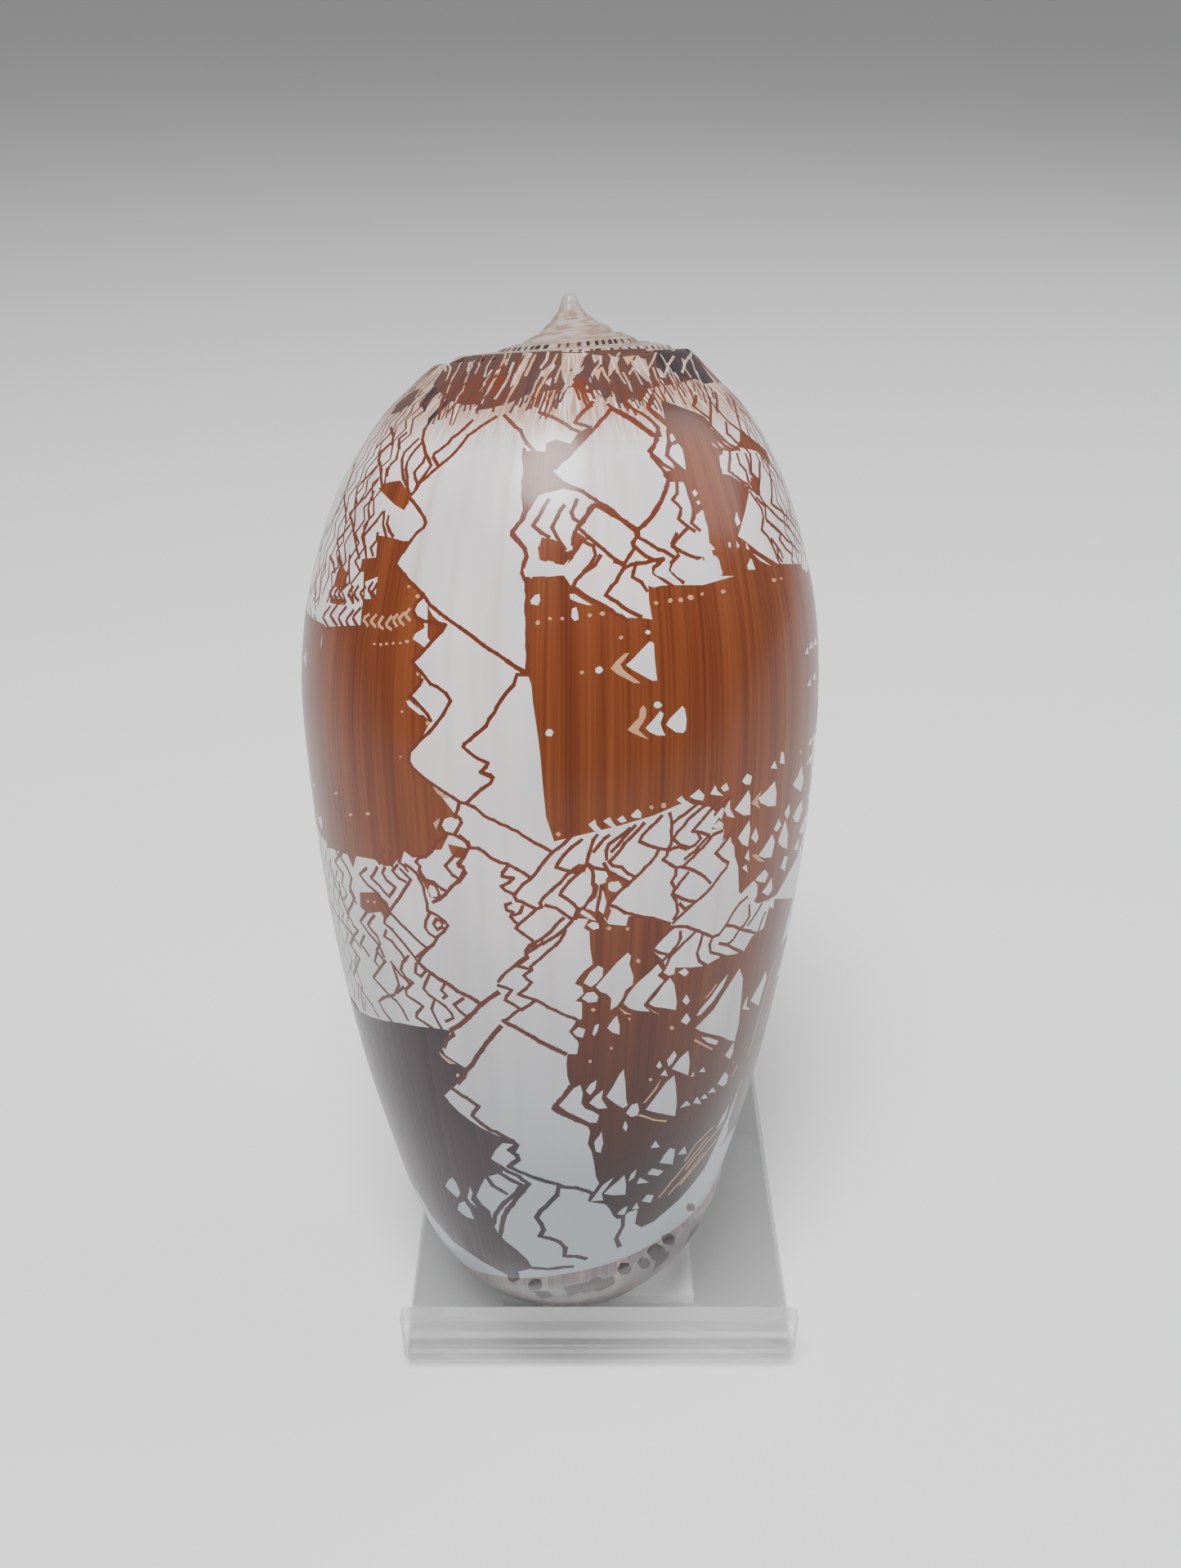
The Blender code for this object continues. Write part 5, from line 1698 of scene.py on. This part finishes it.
LOWER_CELLS = [
    [(714, 1203), (722, 1190), (732, 1182), (738, 1185), (737, 1195), (730, 1203), (723, 1208)],
    [(729, 1208), (740, 1195), (755, 1178), (768, 1166), (772, 1170), (770, 1180), (775, 1195),
     (774, 1205), (765, 1212), (762, 1221), (755, 1231), (747, 1236), (748, 1222), (742, 1216),
     (735, 1214)],
    [(712, 1222), (718, 1215), (727, 1214), (732, 1220), (730, 1226), (720, 1227)],
    [(763, 1228), (770, 1215), (780, 1203), (795, 1190), (805, 1180), (810, 1188), (804, 1194),
     (812, 1200), (797, 1217), (787, 1230), (795, 1238), (780, 1237), (770, 1234)],
    [(794, 1228), (803, 1218), (812, 1205), (820, 1197), (825, 1205), (828, 1225), (827, 1236),
     (815, 1234), (800, 1232)],
    [(812, 1190), (818, 1182), (826, 1184), (825, 1192), (818, 1194)],
    [(830, 1190), (838, 1185), (843, 1190), (838, 1195)],
    [(835, 1225), (840, 1217), (844, 1225), (840, 1230)],
    [(833, 1250), (840, 1240), (845, 1248), (840, 1254)],
    [(743, 1258), (750, 1248), (755, 1243), (758, 1255), (758, 1266), (750, 1264)],
    [(725, 1265), (728, 1255), (733, 1253), (731, 1262), (727, 1268)],
    [(701, 1263), (708, 1257), (716, 1260), (713, 1270), (705, 1268)],
    [(742, 1342), (750, 1330), (758, 1315), (763, 1309), (765, 1325), (766, 1345), (768, 1353),
     (762, 1356), (752, 1350)],
    [(684, 1353), (693, 1343), (702, 1332), (710, 1328), (713, 1338), (711, 1350), (716, 1357),
     (725, 1360), (733, 1365), (730, 1374), (722, 1374), (710, 1368), (695, 1361)],
    [(717, 1335), (722, 1327), (730, 1322), (728, 1333), (722, 1340)],
    [(721, 1350), (728, 1342), (738, 1334), (736, 1345), (743, 1356), (732, 1357)],
    [(766, 1362), (773, 1352), (780, 1350), (782, 1358), (780, 1365), (772, 1367)],
    [(790, 1358), (800, 1345), (815, 1325), (825, 1316), (827, 1330), (828, 1350), (826, 1366),
     (815, 1364), (800, 1361)],
    [(816, 1298), (825, 1286), (828, 1292), (822, 1302), (818, 1305)],
    [(803, 1305), (807, 1298), (810, 1305), (806, 1308)],
    [(822, 1308), (832, 1295), (842, 1286), (844, 1300), (842, 1316), (832, 1312)],
    [(808, 1316), (814, 1309), (817, 1317)], [(762, 1380), (765, 1372), (768, 1378), (766, 1385)],
    [(730, 1396), (736, 1385), (738, 1400), (733, 1409)], [(832, 1356), (840, 1347), (845, 1352)],
]
pen(*LOWER_LINES)
fill(LOWER_BLOCK)
fill(*LOWER_CELLS, kind=GROUND)
pen(*HEAVY_LINES, width=HEAVY_PEN)
LOWER_SLIVERS = [
    [(757, 1233), (765, 1238), (773, 1242), (764, 1241)], [(792, 1233), (800, 1239), (808, 1242)],
    [(786, 1351), (800, 1334), (809, 1320), (804, 1332), (790, 1349)],
]
fill(*LOWER_SLIVERS, kind=CREAM)
LOWER_DOTS = [
    (822, 1258, 3), (796, 1321, 2.5), (781, 1176, 3), (726, 1236, 3), (722, 1299, 2.5),
    (770, 1247, 2), (748, 1283, 2),
]
spots(*LOWER_DOTS, kind=CREAM)
print("lines of the lower middle:", len(MARKS), "marks so far")

# %% [markdown]
# ## The front end
# The last marks lie next to the band round the front end. Its dark blotches are round spots
# with a random edge, so that no two look alike.

# %% Lower right edge and the front end
EDGE_CELLS = [
    [(851, 1258), (862, 1247), (873, 1236), (884, 1218), (895, 1201), (905, 1185), (909, 1198),
     (907, 1222), (904, 1252), (899, 1274), (892, 1273), (882, 1268), (868, 1265), (857, 1262)],
    [(852, 1243), (858, 1234), (870, 1220), (881, 1204), (891, 1192), (884, 1208), (871, 1227),
     (857, 1242)],
    [(918, 1225), (923, 1216), (930, 1204), (937, 1188), (938, 1197), (933, 1213), (928, 1231)],
    [(908, 1235), (911, 1227), (915, 1219), (913, 1231), (918, 1236)],
    [(858, 1269), (868, 1270), (879, 1274), (876, 1279), (866, 1276)],
    [(887, 1292), (893, 1283), (898, 1275), (897, 1287), (893, 1296)],
    [(855, 1312), (861, 1306), (863, 1312)], [(845, 1318), (849, 1311), (849, 1317)],
    [(878, 1326), (887, 1312), (891, 1316), (889, 1326), (884, 1330)],
    [(848, 1350), (853, 1342), (858, 1351)], [(857, 1345), (862, 1339), (866, 1344)],
    [(866, 1338), (872, 1331), (876, 1336)], [(876, 1382), (884, 1366), (892, 1352), (886, 1371)],
    [(733, 1390), (737, 1401), (735, 1411), (729, 1409), (727, 1398)],
    [(807, 1423), (813, 1413), (820, 1405), (826, 1407), (823, 1425)],
    [(792, 1437), (798, 1430), (812, 1433), (805, 1439)], [(796, 1405), (802, 1396), (807, 1404)],
    [(739, 1461), (746, 1454), (757, 1445), (764, 1438), (766, 1450), (765, 1462), (750, 1463)],
    [(723, 1470), (729, 1462), (738, 1450), (751, 1441), (744, 1451), (736, 1461), (738, 1469)],
    [(769, 1446), (772, 1437), (779, 1431), (776, 1441)], [(779, 1449), (783, 1441), (794, 1447)],
    [(785, 1470), (792, 1462), (800, 1463), (796, 1472)], [(773, 1480), (779, 1472), (782, 1479)],
    [(755, 1486), (762, 1479), (768, 1476), (764, 1487)], [(829, 1413), (838, 1403), (840, 1412)],
]
EDGE_SLIVERS = [
    [(851, 1273), (861, 1279), (871, 1284)], [(864, 1221), (870, 1214), (876, 1206)],
    [(783, 1365), (800, 1370), (815, 1372)], [(890, 1378), (872, 1400), (850, 1428), (832, 1450)],
    [(884, 1376), (862, 1402), (840, 1430)], [(872, 1380), (852, 1400), (838, 1420)],
    [(866, 1392), (845, 1418), (822, 1446), (806, 1466)], [(860, 1412), (838, 1440), (818, 1462)],
    [(948, 1176), (940, 1204), (930, 1240), (922, 1270), (914, 1294)], [(902, 1304), (896, 1316)],
]
FRONT_CELLS = [
    [(602, 1419), (606, 1410), (613, 1402), (621, 1400), (624, 1407), (630, 1416), (622, 1426),
     (617, 1430), (609, 1425)],
    [(545, 1452), (548, 1445), (553, 1441), (558, 1447), (563, 1460), (560, 1466), (553, 1460)],
    [(560, 1480), (562, 1473), (568, 1470), (575, 1480), (580, 1492), (572, 1490), (565, 1485)],
    [(572, 1466), (575, 1452), (578, 1460), (576, 1468), (584, 1478), (576, 1472)],
]
FRONT_LINES = [
    [(719, 1458), (705, 1454), (690, 1452), (675, 1448), (662, 1444), (650, 1440), (635, 1434),
     (622, 1428), (634, 1419), (633, 1414), (623, 1408), (632, 1401)],
    [(600, 1420), (612, 1428), (622, 1434), (635, 1440), (646, 1448), (640, 1458), (632, 1468),
     (622, 1480), (617, 1490), (614, 1500), (612, 1515)],
    [(612, 1436), (625, 1444), (637, 1450), (630, 1460), (622, 1468), (612, 1478), (606, 1487),
     (603, 1502)],
    [(596, 1441), (603, 1451), (612, 1457), (620, 1461)], [(719, 1458), (726, 1461)],
    [(684, 1453), (681, 1463), (672, 1472), (662, 1482), (656, 1490), (662, 1497), (665, 1505),
     (661, 1513), (672, 1515), (685, 1520), (692, 1527), (691, 1537), (705, 1538), (716, 1541)],
    [(762, 1488), (762, 1500), (757, 1510), (754, 1516), (758, 1525)],
    [(652, 1552), (672, 1553), (700, 1550)],
]
SLIVER_PEN = 0.16
FRONT_PEN = 0.42
BLOTCHES = [(803, 1532, 12), (818, 1517, 9), (788, 1545, 8), (764, 1553, 9), (731, 1572, 11),
            (713, 1576, 7), (845, 1478, 6), (655, 1572, 9), (628, 1562, 8)]
fill(*EDGE_CELLS, kind=GROUND)
fill(*FRONT_CELLS, kind=GROUND)
pen(*EDGE_SLIVERS, width=SLIVER_PEN, kind=CREAM)
pen(*FRONT_LINES, width=FRONT_PEN, kind=DARK)
spots(*BLOTCHES, kind=DARK)
print("lower right edge and the front end:", len(MARKS), "marks so far")

# %% [markdown]
# ## The skin mesh
# A lattice of points in growth numbers gives the shell its roundness, and the marks' outlines
# are added to it as fixed edges. The triangulation tells which marks cover each face, and the
# last one wins, as with paint. Only then are the flat points lifted on to the shell.

# %% Lattice and triangles
FLAT = 0.33
INSIDE_RINGS = 12
OUTSIDE_RINGS = 104
LIP_RINGS = 9
INNER_LIP_RINGS = 13
SPIRE_ROWS_END = 13.0
SPIRE_ROW_COUNT = 66
BODY_ROW_COUNT = 94
SAME_ROW = 1e-5


def lattice():
    """Flat points of the skin: rings close together on the lip and the spire."""
    columns = np.concatenate([
        np.linspace(RING_FIRST, OUTER_FIRST, INSIDE_RINGS, endpoint=False),
        np.linspace(OUTER_FIRST, OUTER_LAST, OUTSIDE_RINGS, endpoint=False),
        np.linspace(OUTER_LAST, LIP_INSIDE, LIP_RINGS, endpoint=False),
        np.linspace(LIP_INSIDE, RING_LAST, INNER_LIP_RINGS)])
    rows = np.concatenate([np.linspace(0.0, SPIRE_ROWS_END, SPIRE_ROW_COUNT, endpoint=False),
                           np.linspace(SPIRE_ROWS_END, LENGTH, BODY_ROW_COUNT)])
    return columns, rows


def flat_triangles():
    """Triangles in growth numbers, and the pigment of each."""
    columns, rows = lattice()
    g, a = np.meshgrid(columns, rows)
    points = np.stack([g.ravel() * FLAT, a.ravel()], 1)
    n = len(columns)
    m = len(rows)
    corner = np.arange(n * m).reshape(m, n)
    edges = [(int(corner[0, k]), int(corner[0, k + 1])) for k in range(n - 1)]
    edges += [(int(corner[-1, k]), int(corner[-1, k + 1])) for k in range(n - 1)]
    edges += [(int(corner[k, 0]), int(corner[k + 1, 0])) for k in range(m - 1)]
    edges += [(int(corner[k, -1]), int(corner[k + 1, -1])) for k in range(m - 1)]
    verts = [Vector(p) for p in points.tolist()]
    faces = []
    for outline, _ in MARKS:
        first = len(verts)
        verts += [Vector((g * FLAT, a)) for g, a in outline]
        faces.append(list(range(first, len(verts))))
    out = delaunay_2d_cdt(verts, edges, faces, 0, SAME_ROW, True)
    flat = np.array([tuple(v) for v in out[0]])
    triangles = np.array([f for f in out[2] if len(f) == 3])
    on_top = [max(o) if o else -1 for f, o in zip(out[2], out[5]) if len(f) == 3]
    kinds = np.array([MARKS[k][1] if k >= 0 else GROUND for k in on_top])
    return flat[:, 0] / FLAT, flat[:, 1], triangles, kinds


print("lattice of", " x ".join(str(len(side)) for side in lattice()), "points")

# %% [markdown]
# ## Smooth gloss from the formula
# The faces follow the outlines of the marks, so they are uneven, and plain smooth shading would
# show that as ripples in the gloss. The formula knows which way is straight out of the skin.

# %% Normals of the skin
NORMAL_RING_STEP = 0.3
NORMAL_ALONG_STEP = 0.04
APEX_MARGIN = 0.02
AXIS_MARGIN = 0.3


def skin_normals(ring, along):
    """Directions straight out of the skin, from its formula."""
    low = np.clip(along - NORMAL_ALONG_STEP, APEX_MARGIN, LENGTH)
    high = np.clip(along + NORMAL_ALONG_STEP, APEX_MARGIN, LENGTH)
    left = np.clip(ring - NORMAL_RING_STEP, RING_FIRST, None)
    right = np.clip(ring + NORMAL_RING_STEP, None, RING_LAST)
    middle = np.clip(along, AXIS_MARGIN, LENGTH)
    round_it = placed(skin_point(right, middle)) - placed(skin_point(left, middle))
    down_it = placed(skin_point(ring, high)) - placed(skin_point(ring, low))
    out = np.cross(round_it, down_it)
    return out / np.maximum(np.linalg.norm(out, axis=1, keepdims=True), 1e-12)


print("straight out of the back:", skin_normals(np.array([BACK_RING]), np.array([LENGTH / 2])).round(2))

# %% [markdown]
# ## One closed skin
# The two free edges of the lattice are joined, both ends are closed, and each face keeps the
# number of its paint. The growth numbers are stored too, because the material uses them.

# %% Make the skin
SAME_POINT = 1e-6


def new_piece(name, mesh, material):
    """An object in the scene from a mesh and its material."""
    piece = bpy.data.objects.new(name, mesh)
    bpy.context.scene.collection.objects.link(piece)
    mesh.materials.append(material)
    return piece


def make_skin(material):
    """The skin's mesh, with its free edges joined, its ends closed and its pigments stored."""
    ring, along, triangles, kinds = flat_triangles()
    # the two free edges of the lattice are the same line of the shell
    merged = np.arange(len(ring))
    order = {round(a, 4): k for k, a in enumerate(along) if abs(ring[k] - RING_FIRST) < SAME_POINT}
    for k in np.flatnonzero(np.abs(ring - RING_LAST) < SAME_POINT):
        merged[k] = order.get(round(along[k], 4), k)
    triangles = merged[triangles]
    points = placed(skin_point(ring, along))
    bm = bmesh.new()
    verts = [bm.verts.new(p) for p in points.tolist()]
    paint = bm.faces.layers.float.new("paint")
    for corners, kind in zip(triangles.tolist(), kinds.tolist()):
        if len(set(corners)) < 3:
            continue
        try:
            face = bm.faces.new([verts[k] for k in corners])
        except ValueError:
            continue
        face[paint] = kind
    for end in (0.0, LENGTH):
        rim = [k for k in np.flatnonzero(np.abs(along - end) < SAME_ROW) if merged[k] == k]
        rim.sort(key=lambda k: ring[k])
        cap = bm.faces.new([verts[k] for k in (rim[::-1] if end == 0.0 else rim)])
        cap.normal_update()
        bmesh.ops.triangulate(bm, faces=[cap])
    normals = skin_normals(ring, along)
    keep = [k for k in range(len(ring)) if merged[k] == k and verts[k].link_faces]
    for k in range(len(ring)):
        if not verts[k].link_faces:
            bm.verts.remove(verts[k])
    mesh = bpy.data.meshes.new("glazed_skin")
    bm.to_mesh(mesh)
    bm.free()
    for name, values in (("growth", ring[keep]), ("along", along[keep])):
        layer = mesh.attributes.new(name, "FLOAT", "POINT")
        layer.data.foreach_set("value", np.array(values, np.float32))
    mesh.shade_smooth()
    mesh.normals_split_custom_set_from_vertices(normals[keep].tolist())
    print("skin:", len(mesh.polygons), "triangles,", len(MARKS), "marks")
    return new_piece("glazed_skin", mesh, material)

# %% [markdown]
# ## Put the skin in the frame
# The skin takes the place of the faceted solid. It belongs to the same body and stands where
# the solid stands.

# %% Skin
glazed_skin = make_skin(shell_material())
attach(glazed_skin, "root")
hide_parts("shell")
print("skin box:", [round(d * 1000, 1) for d in glazed_skin.dimensions], "mm")

# %% [markdown]
# ## The clear sheet
# The stand's solid is already one bent sheet. A polished acrylic sheet is clear all through,
# so it needs only rounded edges to catch the light and a glassy material.

# %% Clear acrylic
ACRYLIC_TINT = (0.97, 0.99, 1.0, 1.0)
ACRYLIC = {"Roughness": 0.02, "IOR": 1.49, "Transmission Weight": 1.0, "Alpha": 0.5}


def acrylic_material():
    """A clear sheet. Half of the light passes straight on, so the floor under it stays bright."""
    material, tree, shader = new_material("clear acrylic")
    shader.inputs["Base Color"].default_value = ACRYLIC_TINT
    for name, value in ACRYLIC.items():
        shader.inputs[name].default_value = value
    return material


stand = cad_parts["stand"]
stand.data.materials.clear()
stand.data.materials.append(acrylic_material())
print("stand box:", [round(d * 1000, 1) for d in stand.dimensions], "mm")

# %% [markdown]
# ## Floor, light and camera
# A pale floor, one wide soft light from above on the left and a weaker one on the right give
# the soft glints of a photographer's tent.

# %% Studio
FLOOR_HALF = 12.0
FLOOR_COLOUR = (0.8, 0.8, 0.8, 1.0)
FLOOR_ROUGHNESS = 0.9
CENTRE = (0.0, 0.0, 0.045)
KEY_PLACE = (-0.05, -0.15, 0.55)
KEY_SIZE = 0.24
KEY_WATTS = 5.0
FILL_PLACE = (0.45, 0.10, 0.40)
FILL_SIZE = 0.40
FILL_WATTS = 1.5
ROOM_WHITE = (1.0, 1.0, 1.0, 1.0)
ROOM_LIGHT = 0.32
CLIP_START = 0.005


def area_light(name, place, aim, size, watts):
    """A round soft light that looks at a point."""
    light = bpy.data.lights.new(name, "AREA")
    light.shape = "DISK"
    light.size = size
    light.energy = watts
    lamp = bpy.data.objects.new(name, light)
    lamp.location = place
    lamp.rotation_euler = (Vector(place) - Vector(aim)).to_track_quat("Z", "Y").to_euler()
    bpy.context.scene.collection.objects.link(lamp)


def make_floor():
    """A wide pale floor under the stand."""
    bm = bmesh.new()
    bmesh.ops.create_grid(bm, x_segments=1, y_segments=1, size=FLOOR_HALF)
    mesh = bpy.data.meshes.new("floor")
    bm.to_mesh(mesh)
    bm.free()
    material, _, shader = new_material("pale floor")
    shader.inputs["Base Color"].default_value = FLOOR_COLOUR
    shader.inputs["Roughness"].default_value = FLOOR_ROUGHNESS
    floor = new_piece("floor", mesh, material)


make_floor()
area_light("key light", KEY_PLACE, CENTRE, KEY_SIZE, KEY_WATTS)
area_light("fill light", FILL_PLACE, CENTRE, FILL_SIZE, FILL_WATTS)
world = bpy.data.worlds.new("soft room")
world.use_nodes = True
world.node_tree.nodes["Background"].inputs[0].default_value = ROOM_WHITE
world.node_tree.nodes["Background"].inputs[1].default_value = ROOM_LIGHT
bpy.context.scene.world = world

camera_data = bpy.data.cameras.new("photo camera")
camera_data.sensor_width = SENSOR_MM
camera_data.lens = FOCAL_PIXELS * SENSOR_MM / PHOTO_SIZE[1]
camera_data.clip_start = CLIP_START
camera = bpy.data.objects.new("photo camera", camera_data)
camera.location = CAMERA_AT
camera.rotation_euler = (math.radians(90 - LOOK_DOWN), 0, 0)
bpy.context.scene.collection.objects.link(camera)
bpy.context.scene.camera = camera
print("camera at", [round(c, 3) for c in CAMERA_AT], "looks down by", LOOK_DOWN, "degrees")
